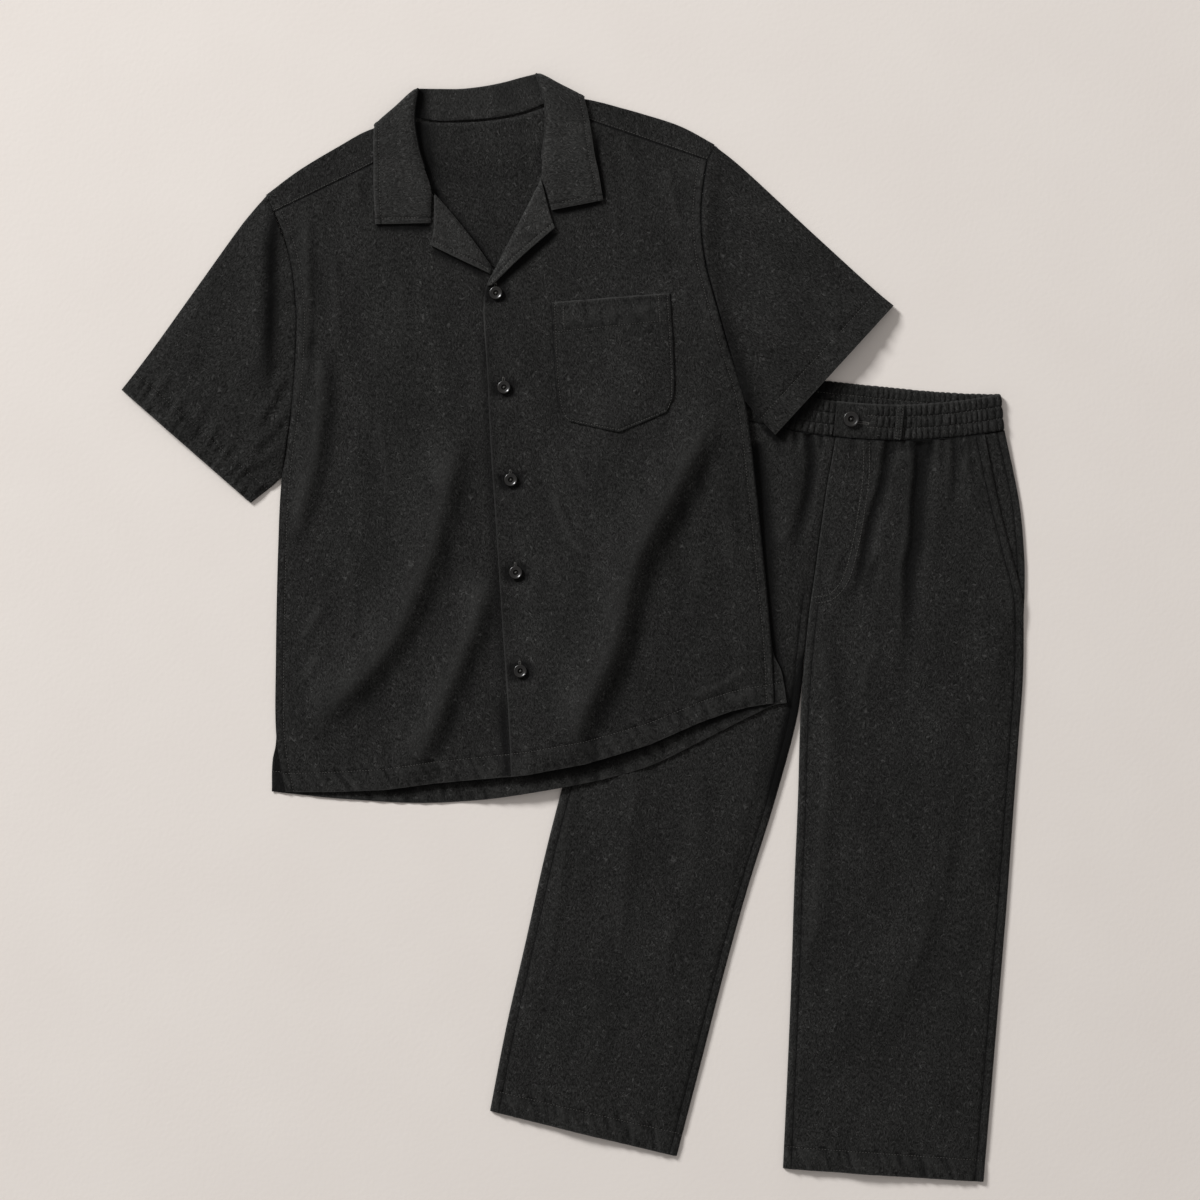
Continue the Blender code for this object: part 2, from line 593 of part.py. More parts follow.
def make_sleeve(sleeve, armhole):
    """A sleeve: a tube pressed flat, with a fold over the arm and a seam under it."""
    run = np.gradient(armhole, axis=0)
    outward = np.stack([-run[:, 1], run[:, 0]], -1) / np.linalg.norm(run, axis=1)[:, None] * sleeve.side
    ease_off = np.full((len(armhole), 1), SLEEVE_SEAM)
    ease_off[-1] = UNDERARM_EASE
    ease_off[0] = SLEEVE_TIP_EASE
    start = armhole + outward * ease_off
    over = evenly([start[0], *sleeve.overarm[1:]], SLEEVE_CELLS + 1)
    under = evenly([start[-1], *sleeve.underarm[1:]], SLEEVE_CELLS + 1)
    own = patch(over, under, start, line(over[-1], under[-1], len(start)))
    radius = (CLOTH + SLEEVE_HOLLOW) / 2
    surface = Surface()
    rings = []
    for j in range(own.shape[1]):
        section = own[:, j]
        across = (section[-1] - section[0]) / np.linalg.norm(section[-1] - section[0])
        u = np.linspace(0, 1, len(section))
        round_off = np.sin(math.pi * u)
        lift = SLEEVE_PUFF * round_off**0.7 + fold_height(section, sleeve.folds) * round_off**0.4
        low = CLOTH / 2 + over_trousers(turned(section, SHIRT), 0)
        high = CLOTH / 2 + 2 * radius + over_trousers(turned(section, SHIRT), 1) + lift
        ring = [
            *lifted(section, SHIRT, low),
            lifted(section[-1] + across * radius, SHIRT, (low[-1] + high[-1]) / 2),
            *lifted(section[::-1], SHIRT, high[::-1]),
            lifted(section[0] - across * radius, SHIRT, (low[0] + high[0]) / 2),
        ]
        rings.append(ring)
    surface.skin(surface.points(rings), closed=True)
    return surface.wall(sleeve.name, CLOTH, LINEN)


def collar_station(row, facing):
    """The points of one station, from the free edge over the roll to the neck seam, or to the roll alone."""
    roll, fall = np.array(row.roll, float), np.array(row.fall, float)
    turn = math.radians(row.turn)
    fold = "fold" in row.name
    outward = np.array([facing[0], facing[1]]) if fold else np.zeros(2)
    back = outward * COLLAR_INSET

    def at(plan, radius):
        return lifted(
            plan - back + outward * radius * math.sin(turn),
            SHIRT,
            COLLAR_MIDDLE + radius * math.cos(turn) - row.drop,
        )

    points = [at(fall * (1 - t) + roll * t, FALL_RADIUS) for t in (0, 0.34, 0.67, 1)]
    if row.seam is None:
        return points
    seam = np.array(row.seam, float)
    bulge = (roll - (fall + seam) / 2) / np.linalg.norm(roll - (fall + seam) / 2)
    half = (FALL_RADIUS - STAND_RADIUS) / 2
    points.append(at(roll + bulge * half, (FALL_RADIUS + STAND_RADIUS) / 2))
    points += [at(roll * (1 - t) + seam * t, STAND_RADIUS) for t in (0, 0.5, 1)]
    return points


def make_collar():
    """The collar, two layers of linen sewn as one, folded along its roll and turned over at each shoulder."""
    right, left = COLLAR[6], COLLAR[16]
    surface = Surface()
    stations = []
    for row in COLLAR:
        fold = right if "right" in row.name else left
        run = np.subtract(fold.roll, fold.fall) if fold is right else np.subtract(fold.fall, fold.roll)
        facing = np.array([-run[1], run[0]]) / np.linalg.norm(run)
        stations.append(collar_station(row, facing))
    rows = [surface.points([points])[0] for points in stations]
    for one, other in zip(rows, rows[1:]):
        count = min(len(one), len(other))
        surface.skin([one[:count], other[:count]])
    return surface.wall("shirt_collar", DOUBLED, LINEN)


def make_lapel(lapel, front):
    """A lapel: the front and its facing folded out, lying on the front."""
    along, across = LAPEL_CELLS
    roll, free = evenly(lapel.roll, along + 1), evenly(lapel.free, along + 1)
    own = patch(evenly(lapel.gorge, across + 1), line(roll[-1], free[-1], across + 1), roll, free)
    surface = Surface()
    rows = []
    for row in turned(own, SHIRT):
        lift = LAPEL_LIFT * np.linspace(0, 1, across + 1) ** 2
        seat = [highest([front], point, LAPEL_FOOT) for point in row]
        rows.append([(x, y, s + SEAM + DOUBLED / 2 + h) for (x, y), s, h in zip(row, seat, lift)])
    surface.skin(surface.points(rows))
    return surface.wall(lapel.name, DOUBLED, LINEN)


def make_pocket(body):
    """The patch pocket, cut from the left front's own points, moved out."""
    surface = Surface()
    points = front_left_points(body)
    points[..., 2] += LAYER
    surface.skin(surface.points(points))
    surface.trim(turned(POCKET[::-1], SHIRT))
    return surface.wall("shirt_pocket", CLOTH, LINEN)


def make_button(name, middle, radius, carriers):
    """A round button, dished inside its rim."""
    half = BUTTON_THICKNESS / 2
    profile = [
        (0, half * 0.35),
        (radius * 0.55, half * 0.3),
        (radius * 0.8, half),
        (radius * 0.93, half),
        (radius, half * 0.2),
        (radius * 0.9, -half),
        (0, -half),
    ]
    bm = bmesh.new()
    verts = [bm.verts.new(Vector((x, 0, z)) * MILLIMETRE) for x, z in profile]
    for a, b in zip(verts, verts[1:]):
        bm.edges.new((a, b))
    obj = to_object(bm, name, BUTTON)
    screw = obj.modifiers.new("turned", "SCREW")
    screw.steps = screw.render_steps = BUTTON_STEPS
    screw.use_merge_vertices = True
    screw.merge_threshold = 0.00001
    seat = highest(carriers, middle, radius)
    obj.location = Vector((middle[0], middle[1], seat + SEAM + half)) * MILLIMETRE
    return obj


def band_front_foot(x):
    return BAND_FRONT_RISE * (x / 174) ** 2


def band_back_foot(x):
    return BAND_BACK_FOOT + (BAND_FRONT_RISE - BAND_BACK_FOOT) * (x / 174) ** 4


def leg_rows(table, front, columns):
    """Sections of a leg, each one a row of points from its inner seam to its outer edge."""
    inner = through([row.inner for row in table], LEG_ROWS_BETWEEN)
    outer = through([row.front if front else row.outer for row in table], LEG_ROWS_BETWEEN)
    rows = np.array([line(a, b, columns + 1) for a, b in zip(inner, outer)])
    foot = band_front_foot if front else band_back_foot
    # The first rows are drawn to the curve of the waist seam, and the rows below follow it less and less.
    top = foot(rows[0][:, 0]) - SEAM
    shift = top - rows[0][:, 1]
    for i, fade in enumerate((1, 0.6, 0.3, 0.1)):
        rows[i][:, 1] += shift * fade
    return rows


def trouser_air(own, side):
    """Heights of a trouser front above the surface."""
    x, y = own[..., 0], own[..., 1]
    u = np.linspace(0, 1, own.shape[1])[None, :]
    round_off = np.sin(math.pi * u)
    air = LEG_AIR * round_off**0.55
    # A pocket edge lies over its facing, so the left front's outer edge stands one layer up at the hip.
    if side > 0:
        rise = ease((y - POCKET_RISE_END) / POCKET_RISE_RAMP)
        air = air + (LAYER + SEAM) * ease((u - 0.7) / 0.25) * rise
    join = (BAND_FRONT_MIDDLE - FRONT_MIDDLE) * ease(y / JOIN_RAMP + 0.8)
    gather = GATHER_HEIGHT * 0.5 * (1 + np.cos(math.tau * (x - GATHER_PHASE) / GATHER_PITCH))
    gather *= np.exp(-np.maximum(-y, 0) / GATHER_LENGTH) * ease((x - GATHER_END) / GATHER_PITCH)
    return FRONT_MIDDLE + np.maximum(air, join) + gather + fold_height(own, LEG_FOLDS) * round_off**0.4


def make_trouser_front(name, table, side):
    own = leg_rows(table, True, LEG_COLUMNS)
    surface = Surface()
    surface.skin(surface.points(lifted(own, TROUSERS, trouser_air(own, side))))
    return surface.wall(name, CLOTH, LINEN)


def make_trouser_back(name, table):
    own = leg_rows(table, False, BACK_LEG_COLUMNS)
    surface = Surface()
    surface.skin(surface.points(lifted(own, TROUSERS, np.full(own.shape[:-1], CLOTH / 2))))
    return surface.wall(name, CLOTH, LINEN)


def make_pocket_facing():
    """The piece that shows inside the slanted side pocket, between its edge and the outer seam."""
    rows = [row for row in LEFT_LEG if row.outer[0] - row.front[0] > 3]
    edge = through([np.subtract(row.front, (POCKET_FACING_LAP, 0)) for row in rows], LEG_ROWS_BETWEEN)
    outer = through([row.outer for row in rows], LEG_ROWS_BETWEEN)
    own = np.array([line(a, b, 3) for a, b in zip(edge, outer)])
    own[0][:, 1] = band_front_foot(own[0][:, 0]) - SEAM
    y = own[..., 1]
    join = (BAND_FRONT_MIDDLE - LAYER - FRONT_MIDDLE) * ease((y + 40) / 60)
    surface = Surface()
    surface.skin(surface.points(lifted(own, TROUSERS, FRONT_MIDDLE + np.maximum(join, 0))))
    return surface.wall("trouser_pocket_facing", CLOTH, LINEN)


def rib_steps(start, end, ribs_from):
    """Stations along a stretch of the waistband, each a place and a height, close together where it is ribbed."""
    low, high = min(start, end), max(start, end)
    out = []
    x = low
    while x < high - RIB_PITCH / 4:
        ribbed = x >= ribs_from
        out.append((x, RIB_HEIGHT if ribbed and len(out) % 2 else -RIB_HEIGHT if ribbed else 0))
        x += RIB_PITCH / 2 if ribbed else PLAIN_STEP
    out.append((high, 0))
    return out if end > start else out[::-1]


def band_section(x, foot, z, rib, lean):
    """One station of the waistband, from its seam to its top edge. The ribs are pinched at the stitching."""
    out = []
    for share in BAND_ROWS:
        pinch = 1.0 if share in (0.0, 1.0) else RIB_PINCH
        out.append((x * (1 - BAND_TAPER * share), foot + SEAM + share * BAND_HEIGHT, z + rib * pinch + lean * share))
    return out


def make_waistband():
    """The waistband, from its right end under the lap, round the back, to its left end over the lap."""
    stations = []
    end = BAND_HALF_WIDTH
    for x, rib in rib_steps(BAND_LAP_UNDER, -end, RIBS_FRONT):
        under = 0 if x > BAND_LAP_START - 12 else 1
        stations.append(band_section(x, band_front_foot(x), BAND_FRONT_MIDDLE, rib * under, 0))
    middle = (BAND_FRONT_MIDDLE + BAND_BACK_MIDDLE) / 2
    radius = (BAND_FRONT_MIDDLE - BAND_BACK_MIDDLE) / 2
    stations.append(band_section(-end - radius, BAND_FRONT_RISE, middle, 0, 0))
    for x, rib in rib_steps(-end, end, RIBS_BACK):
        z = BAND_BACK_MIDDLE + (rib + RIB_HEIGHT if rib else 0)
        stations.append(band_section(x, band_back_foot(x), z, 0, 0))
    stations.append(band_section(end + radius, BAND_FRONT_RISE, middle, 0, 0))
    for x, rib in rib_steps(end, BAND_LAP_START, BAND_LAP_PLAIN):
        lift = BAND_LAP_RISE * ease((BAND_LAP_PLAIN + 40 - x) / 40)
        stations.append(band_section(x, band_front_foot(x), BAND_FRONT_MIDDLE + lift, rib, 0))
    stations = np.array(stations)
    points = np.concatenate([turned(stations[..., :2], TROUSERS), stations[..., 2:]], -1)
    surface = Surface()
    surface.skin(surface.points(points))
    band = surface.wall("trouser_waistband", CASING, LINEN)
    press_flat(band)
    return band


def press_flat(obj):
    """Applies the modifiers and presses what lies lowest flat against the surface."""
    bpy.context.view_layer.update()
    graph = bpy.context.evaluated_depsgraph_get()
    mesh = bpy.data.meshes.new_from_object(obj.evaluated_get(graph))
    obj.modifiers.clear()
    obj.data = mesh
    for vertex in mesh.vertices:
        if vertex.co.z < RIB_HEIGHT * 2.2 * MILLIMETRE:
            vertex.co.z = 0


def make_belt_loop(band):
    """The belt loop: a strap sewn flat on the waistband, from its seam to its top edge."""
    half = BELT_LOOP_WIDTH / 2
    foot = band_front_foot(BELT_LOOP_X)
    surface = Surface()
    rows = []
    for share in np.linspace(0.02, 0.98, BELT_LOOP_ROWS):
        y = foot + SEAM + share * BAND_HEIGHT
        row = turned([(BELT_LOOP_X - half, y), (BELT_LOOP_X, y), (BELT_LOOP_X + half, y)], TROUSERS)
        seat = max(highest([band], point, half) for point in row)
        rows.append([(p[0], p[1], seat + SEAM + CLOTH / 2) for p in row])
    surface.skin(surface.points(rows))
    return surface.wall("trouser_belt_loop", CLOTH, LINEN)


def make_shirt():
    body = body_rows()
    make_back(body)
    front_right = make_front_right(body)
    front_left = make_front_left(body)
    make_pocket(body)
    underarm = ROWS_BETWEEN * 2
    for sleeve in SLEEVES:
        below = body[1 : underarm + 1, 0 if sleeve.side < 0 else -1]
        armhole = np.concatenate([[sleeve.overarm[0]], evenly(sleeve.armhole, YOKE_ROWS), below])
        make_sleeve(sleeve, armhole)
    make_collar()
    make_lapel(LAPEL_RIGHT, front_right)
    make_lapel(LAPEL_LEFT, front_left)
    for number, own in enumerate(SHIRT_BUTTONS, 1):
        make_button(f"shirt_button_{number}", turned(own, SHIRT), SHIRT_BUTTON_RADIUS, [front_left])


def make_trousers():
    make_trouser_back("trouser_back_left", LEFT_LEG)
    make_trouser_back("trouser_back_right", RIGHT_LEG)
    make_trouser_front("trouser_front_left", LEFT_LEG, 1)
    make_trouser_front("trouser_front_right", RIGHT_LEG, -1)
    make_pocket_facing()
    band = make_waistband()
    make_belt_loop(band)
    make_button("trouser_button", turned(TROUSER_BUTTON, TROUSERS), TROUSER_BUTTON_RADIUS, [band])


def main():
    for obj in list(bpy.data.objects):
        bpy.data.objects.remove(obj)
    collection = bpy.data.collections.new("co-ord set")
    bpy.context.scene.collection.children.link(collection)
    make_trousers()
    make_shirt()


main()
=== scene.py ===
"""The looks of a linen co-ord set laid flat: a camp-collar shirt lying over elastic-waisted trousers.

Sizes here are in millimetres unless a name says otherwise. Each garment has its own frame, as in the
solids: the shirt's starts at the middle of the back neck seam, the trousers' where the fly meets the
waistband. "right" and "left" are the wearer's, so a right-hand piece lies on the left as seen from above.
"""

import logging
import math
from collections.abc import Callable, Sequence
from dataclasses import dataclass, field
from enum import Enum

import bpy
import numpy as np
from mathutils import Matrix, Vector

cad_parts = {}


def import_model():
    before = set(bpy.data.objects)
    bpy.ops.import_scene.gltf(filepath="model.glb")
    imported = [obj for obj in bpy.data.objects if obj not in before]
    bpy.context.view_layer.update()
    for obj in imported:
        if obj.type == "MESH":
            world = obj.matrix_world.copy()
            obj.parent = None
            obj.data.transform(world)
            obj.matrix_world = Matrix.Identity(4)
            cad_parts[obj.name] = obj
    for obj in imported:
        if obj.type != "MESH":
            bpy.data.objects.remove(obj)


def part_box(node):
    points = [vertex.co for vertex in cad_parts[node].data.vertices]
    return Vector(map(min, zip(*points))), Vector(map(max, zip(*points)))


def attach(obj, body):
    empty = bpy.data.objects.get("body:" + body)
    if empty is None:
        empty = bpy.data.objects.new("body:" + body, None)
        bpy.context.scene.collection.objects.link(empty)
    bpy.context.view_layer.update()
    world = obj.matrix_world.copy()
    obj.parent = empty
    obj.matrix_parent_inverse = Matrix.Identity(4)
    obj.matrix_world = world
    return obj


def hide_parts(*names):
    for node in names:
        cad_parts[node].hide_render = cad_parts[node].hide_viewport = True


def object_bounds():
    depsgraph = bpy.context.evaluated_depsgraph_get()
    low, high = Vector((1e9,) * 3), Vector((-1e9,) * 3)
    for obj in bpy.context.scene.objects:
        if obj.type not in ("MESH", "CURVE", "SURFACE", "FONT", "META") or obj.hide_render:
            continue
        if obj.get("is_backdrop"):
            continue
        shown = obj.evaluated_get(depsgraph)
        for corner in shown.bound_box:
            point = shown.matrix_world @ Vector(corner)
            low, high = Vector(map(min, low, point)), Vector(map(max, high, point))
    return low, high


log = logging.getLogger("co-ord set")

Points = np.ndarray
Pair = tuple[float, float]
Rule = Callable[[Points], Points]
Tree = bpy.types.NodeTree
Node = bpy.types.Node
Socket = bpy.types.NodeSocket
Material = bpy.types.Material
Object = bpy.types.Object

MILLIMETRE = 0.001
BODY = "root"
LINEN_SLOT = "linen"
BUTTON_SLOT = "button"

CLOTH = 1.2  # the solids' wall, for one layer of cloth
SEAM = 0.3  # the room between two layers
LAYER = CLOTH + SEAM
SHELL = 0.9  # the shell that shows lies inside the solid's wall
WELDS_PER_MM = 500  # points closer than 0.002 mm are one
BAND = 0.314  # the width of a band of a wave texture whose scale is 1


class Edge(Enum):
    """The four edges of a panel, as its grid runs."""

    TOP = "top"
    BOTTOM = "bottom"
    LEFT = "left"
    RIGHT = "right"


class Side(Enum):
    """The wearer's right and left, with the way each one points along X."""

    RIGHT = -1
    LEFT = 1


def ease(t: Points) -> Points:
    """0 below 0, 1 above 1, and a soft step in between."""
    t = np.clip(t, 0, 1)
    return t * t * (3 - 2 * t)


def bump(t: Points) -> Points:
    """A soft bell, 1 at 0 and gone past 2."""
    return np.exp(-np.square(t))


def through(rows: Sequence, between: int) -> Points:
    """A smooth run through rows of values.

    Args:
        rows: the values that the run passes through, one row for each stop.
        between: the steps from one stop to the next.

    Returns:
        The rows of the run, first and last stops included.
    """
    rows = np.asarray(rows, float)
    padded = np.concatenate([[2 * rows[0] - rows[1]], rows, [2 * rows[-1] - rows[-2]]])
    out = []
    for i in range(len(rows) - 1):
        a, b, c, d = padded[i : i + 4]
        for t in np.arange(between) / between:
            square, cube = 2 * a - 5 * b + 4 * c - d, 3 * b - a - 3 * c + d
            out.append(b + 0.5 * ((c - a) * t + square * t**2 + cube * t**3))
    return np.array(out + [rows[-1]])


def run_of(points: Points) -> Points:
    """The distance along a line of points, at each of them."""
    return np.concatenate([[0], np.cumsum(np.linalg.norm(np.diff(points, axis=0), axis=1))])


def sample(points: Points, at: Points, run: Points | None = None) -> Points:
    """Points read from a line, at distances along it.

    Args:
        points: the line.
        at: the distances.
        run: the distance at each point of the line, where it isn't the line's own length.

    Returns:
        One point for each distance.
    """
    run = run_of(points) if run is None else run
    return np.stack([np.interp(at, run, points[:, k]) for k in range(points.shape[1])], -1)


def evenly(points: Sequence, count: int) -> Points:
    """This many points, evenly spaced along the smooth curve through the ones given."""
    dense = through(points, 20)
    return sample(dense, np.linspace(0, run_of(dense)[-1], count))


def sideways(line: Points) -> Points:
    """The direction to the left of a line, one unit long, at each of its points."""
    run = np.gradient(line, axis=0)
    return np.stack([-run[:, 1], run[:, 0]], -1) / np.linalg.norm(run, axis=1)[:, None]


def smoothed(z: Points, rounds: int = 5) -> Points:
    """Heights of a grid, averaged with their neighbours' this many times.

    Args:
        z: the heights.
        rounds: how many times.

    Returns:
        The smoother heights.
    """
    for _ in range(rounds):
        wide = np.pad(z, 1, mode="edge")
        z = (wide[:-2, 1:-1] + wide[2:, 1:-1] + wide[1:-1, :-2] + wide[1:-1, 2:] + 2 * z) / 6
    return z


def spread(lengths: Points, step: float, near: Sequence[float], far: Sequence[float]) -> Points:
    """Distances along lines of several lengths: set ones at both ends, and even ones in between.

    Args:
        lengths: the length of each line.
        step: the usual distance between the even ones.
        near: the set distances from the start.
        far: the set distances from the end.

    Returns:
        A row of distances for each line, all of one count.
    """
    lengths = np.asarray(lengths, float)[:, None]
    squeeze = np.minimum(1, 0.9 * lengths / max(near[-1] + far[-1], 0.01))
    near, far = np.asarray(near, float) * squeeze, np.asarray(far, float) * squeeze
    room = lengths - near[:, -1:] - far[:, -1:]
    count = max(2, round(float(room.mean()) / step))
    inner = near[:, -1:] + room * (np.arange(1, count) / count)[None]
    return np.concatenate([near, inner, lengths - far[:, ::-1]], axis=1)


@dataclass(frozen=True)
class Place:
    """Where a garment's own frame lies on the surface."""

    x: float
    y: float
    turn: float

    def out(self, own: Points) -> Points:
        """The garment's own points, in the shared frame.

        Args:
            own: points of the garment's own frame.

        Returns:
            The same points in the shared frame.
        """
        own = np.asarray(own, float)
        c, s = math.cos(math.radians(self.turn)), math.sin(math.radians(self.turn))
        x, y = own[..., 0], own[..., 1]
        return np.stack([self.x + x * c - y * s, self.y + x * s + y * c], -1)

    def back(self, points: Points) -> Points:
        """Points of the shared frame, in the garment's own one.

        Args:
            points: the points.

        Returns:
            The same points in the garment's own frame.
        """
        points = np.asarray(points, float)
        c, s = math.cos(math.radians(self.turn)), math.sin(math.radians(self.turn))
        x, y = points[..., 0] - self.x, points[..., 1] - self.y
        return np.stack([x * c + y * s, -x * s + y * c], -1)

    def at(self, own: Points, z: Points) -> Points:
        """The garment's own points at their heights, in the shared frame."""
        return np.concatenate([self.out(own), z[..., None]], -1)


SHIRT = Place(-93, 541, 6)
TROUSERS = Place(281, 202, -6)


@dataclass(frozen=True)
class Waves:
    """Soft random waves in cloth, the same on each run."""

    seed: int
    across: float
    along: float
    height: float
    cells: int = 48

    def at(self, own: Points) -> Points:
        """The waves' height at each point, above and below 0.

        Args:
            own: points of the garment's own frame.

        Returns:
            The heights.
        """
        lattice = np.random.default_rng(self.seed).uniform(-1, 1, (self.cells, self.cells))
        x = own[..., 0] / self.across + 10 * self.cells
        y = own[..., 1] / self.along + 10 * self.cells
        i, j = np.floor(x).astype(int), np.floor(y).astype(int)
        u, v = ease(x - i), ease(y - j)
        i, j = i % self.cells, j % self.cells
        k, m = (i + 1) % self.cells, (j + 1) % self.cells
        lower = lattice[i, j] * (1 - u) + lattice[k, j] * u
        upper = lattice[i, m] * (1 - u) + lattice[k, m] * u
        return self.height * (lower * (1 - v) + upper * v)


@dataclass(frozen=True)
class Drape:
    """The waves of one piece of cloth, from its long soft ones down to the creases of washed linen."""

    seed: int
    swell: float = 1.0
    crumple: float = 1.0

    def at(self, own: Points) -> Points:
        """How far the waves lift each point. They only ever lift it, so no layer dips into the next.

        Args:
            own: points of the garment's own frame.

        Returns:
            The lift at each point.
        """
        waves = (
            Waves(self.seed, 26, 130, 0.75 * self.swell),
            Waves(self.seed + 1, 44, 60, 0.5 * self.swell),
            Waves(self.seed + 2, 11, 34, 0.2 * self.crumple),
            Waves(self.seed + 3, 6, 9, 0.06 * self.crumple),
        )
        return sum(wave.at(own) + 0.7 * wave.height for wave in waves)


@dataclass(frozen=True)
class Fold:
    """A ridge in the cloth along a smooth path, or a trough if its height is negative.

    Its flanks may differ in width: here the right one, with +X where the path runs down the garment, is
    the one that faces away from the light.
    """

    path: tuple[Pair, ...]
    height: float
    left: float
    right: float
    fade: Pair = (0.2, 0.2)  # the share of its length over which each end dies away

    def at(self, own: Points) -> Points:
        """How far the fold lifts each point.

        Args:
            own: points of the garment's own frame.

        Returns:
            The lift at each point.
        """
        line = evenly(self.path, 32)
        run = np.gradient(line, axis=0)
        step = np.linalg.norm(run, axis=1)
        run /= step[:, None]
        flat = own.reshape(-1, 2)
        wide = 2.5 * max(self.left, self.right)
        near = np.all((flat > line.min(0) - wide) & (flat < line.max(0) + wide), axis=1)
        points = flat[near]
        away = points[:, None] - line[None]
        nearest = np.argmin(np.sum(away**2, axis=2), axis=1)
        away, run = away[np.arange(len(points)), nearest], run[nearest]
        t = (nearest + np.sum(away * run, axis=1) / step[nearest]) / (len(line) - 1)
        off = away[:, 1] * run[:, 0] - away[:, 0] * run[:, 1]
        rise = self.height * bump(off / np.where(off < 0, self.left, self.right))
        out = np.zeros(len(flat))
        out[near] = rise * ease(t / self.fade[0]) * ease((1 - t) / self.fade[1])
        return out.reshape(own.shape[:-1])


def lift(own: Points, folds: Sequence[Fold]) -> Points:
    """How far several folds lift each point together."""
    return sum((fold.at(own) for fold in folds), np.zeros(own.shape[:-1]))


@dataclass(frozen=True)
class Border:
    """What a maker does along one edge of a panel. Distances are in from the edge."""

    sewn: tuple[float, ...] = ()  # lines of stitches
    pressed: tuple[float, ...] = ()  # lines of a seam that lies under the cloth
    hem: float = 0.0  # the width turned under
    drop: float = 0.35  # how far the very edge turns down
    worn: float = 0.8  # how pale its edge is, partly from wear and partly as painted highlight
    joined: bool = False  # sewn to the next piece there, so the edge is a valley with painted shade
    plain: bool = False  # hidden, so it needs no fine rows
    reach: float = 60.0  # how far in its rows may lie
    pucker: float = 0.5  # how much its sewing draws the cloth up
    valley: float = 0.95  # how dark the painted shade at its very edge is, where it is joined
    start: float = -20.0  # how far along the edge its pressed lines begin

    def marks(self) -> list[float]:
        """The distances that need a row of points of their own."""
        if self.plain:
            return [0.0]
        marks = {0.0, 0.45, 1.1, 2.2, 4.2}
        for line in (*self.sewn, *self.pressed):
            marks = {mark for mark in marks if abs(mark - line) > 0.9}
            marks |= {line - 1.0, line, line + 1.0}
        if self.hem:
            marks |= {self.hem + 1.4}
        marks |= {self.hem / 2 - 1.5, self.hem / 2 + 2.5} if self.hem > 12 else set()
        marks.add(max(marks) + 2.6)
        return sorted(mark for mark in marks if 0 <= mark <= self.reach)

    def relief(self, distance: Points, along: Points, seed: int) -> tuple[Points, Points, Points]:
        """The edge's relief, its painted shade, and how pale wear and painted highlight make its edge.

        Args:
            distance: how far each point lies from the edge.
            along: how far each point lies along it.
            seed: which random puckers the edge has.

        Returns:
            How far each point is lifted, how dark its painted shade is, and how pale wear and painted
            highlight make it.
        """
        slanted = np.stack(np.broadcast_arrays(along + 0.35 * distance, distance), -1)
        ripple = Waves(seed, 4.6, 17, 1).at(slanted) + Waves(seed + 7, 9.5, 30, 0.6).at(slanted)
        rise = -self.drop * bump(distance / 1.0)
        # Painted shade in a joined edge's valley and along each sewn and pressed line; a free edge is paler,
        # from wear and painted highlight
        crease = bump(distance / 1.35) * (self.valley if self.joined else 0.0)
        for line in self.sewn:
            off = distance - line
            rise = rise - 0.5 * bump(off / 1.0) + self.pucker * ripple * bump(off / 5)
            crease = np.maximum(crease, 0.7 * bump(off / 0.9))
        begun = ease((along - self.start) / 20)
        for line in self.pressed:
            off = distance - line
            rise = rise + begun * (self.pucker * ripple * bump(off / 5) - 0.6 * bump(off / 1.0))
            crease = np.maximum(crease, begun * 0.9 * bump(off / 0.9))
        if self.hem:
            within = ease((self.hem + 1.2 - distance) / 1.6)
            rise = rise + 0.35 * within + self.pucker * ripple * ease((self.hem + 5 - distance) / 7)
        worn = np.zeros_like(distance) if self.joined else self.worn * bump(distance / 1.1)
        return rise, crease, worn


PLAIN = Border(plain=True, drop=0, worn=0)
SEAMED = Border(joined=True, drop=0.55)
FREE = Border()


def around(top: Border, bottom: Border, left: Border, right: Border) -> dict[Edge, Border]:
    """A panel's four borders, each under its edge."""
    return dict(zip(Edge, (top, bottom, left, right)))


def srgb(code: str) -> tuple[float, float, float, float]:
    """An sRGB hex colour as a linear one."""
    parts = [int(code[i : i + 2], 16) / 255 for i in (1, 3, 5)]
    return (*(c / 12.92 if c <= 0.04045 else ((c + 0.055) / 1.055) ** 2.4 for c in parts), 1.0)


def feed(tree: Tree, node: Node, inputs: dict) -> None:
    """Gives a node's inputs, by name or number, a value each or the socket that feeds them.

    Args:
        tree: the node tree.
        node: the node.
        inputs: what each input is given.
    """
    for key, value in inputs.items():
        if isinstance(value, Socket):
            tree.links.new(value, node.inputs[key])
        else:
            node.inputs[key].default_value = value


def add(tree: Tree, kind: str, inputs: dict | None = None, **settings: object) -> Node:
    """Adds a node, with its settings and what feeds it.

    Args:
        tree: the node tree.
        kind: the node's type.
        inputs: for each input, by name or number, a value or the socket that feeds it.
        settings: values for the node's own properties.

    Returns:
        The new node.
    """
    node = tree.nodes.new(kind)
    for key, value in settings.items():
        setattr(node, key, value)
    feed(tree, node, inputs or {})
    return node


def new_material(name: str) -> tuple[Material, Tree, Node]:
    """An empty material with its Principled shader.

    Args:
        name: the material's name.

    Returns:
        The material, its node tree and the shader.
    """
    made = bpy.data.materials.new(name)
    made.use_nodes = True
    return made, made.node_tree, made.node_tree.nodes["Principled BSDF"]


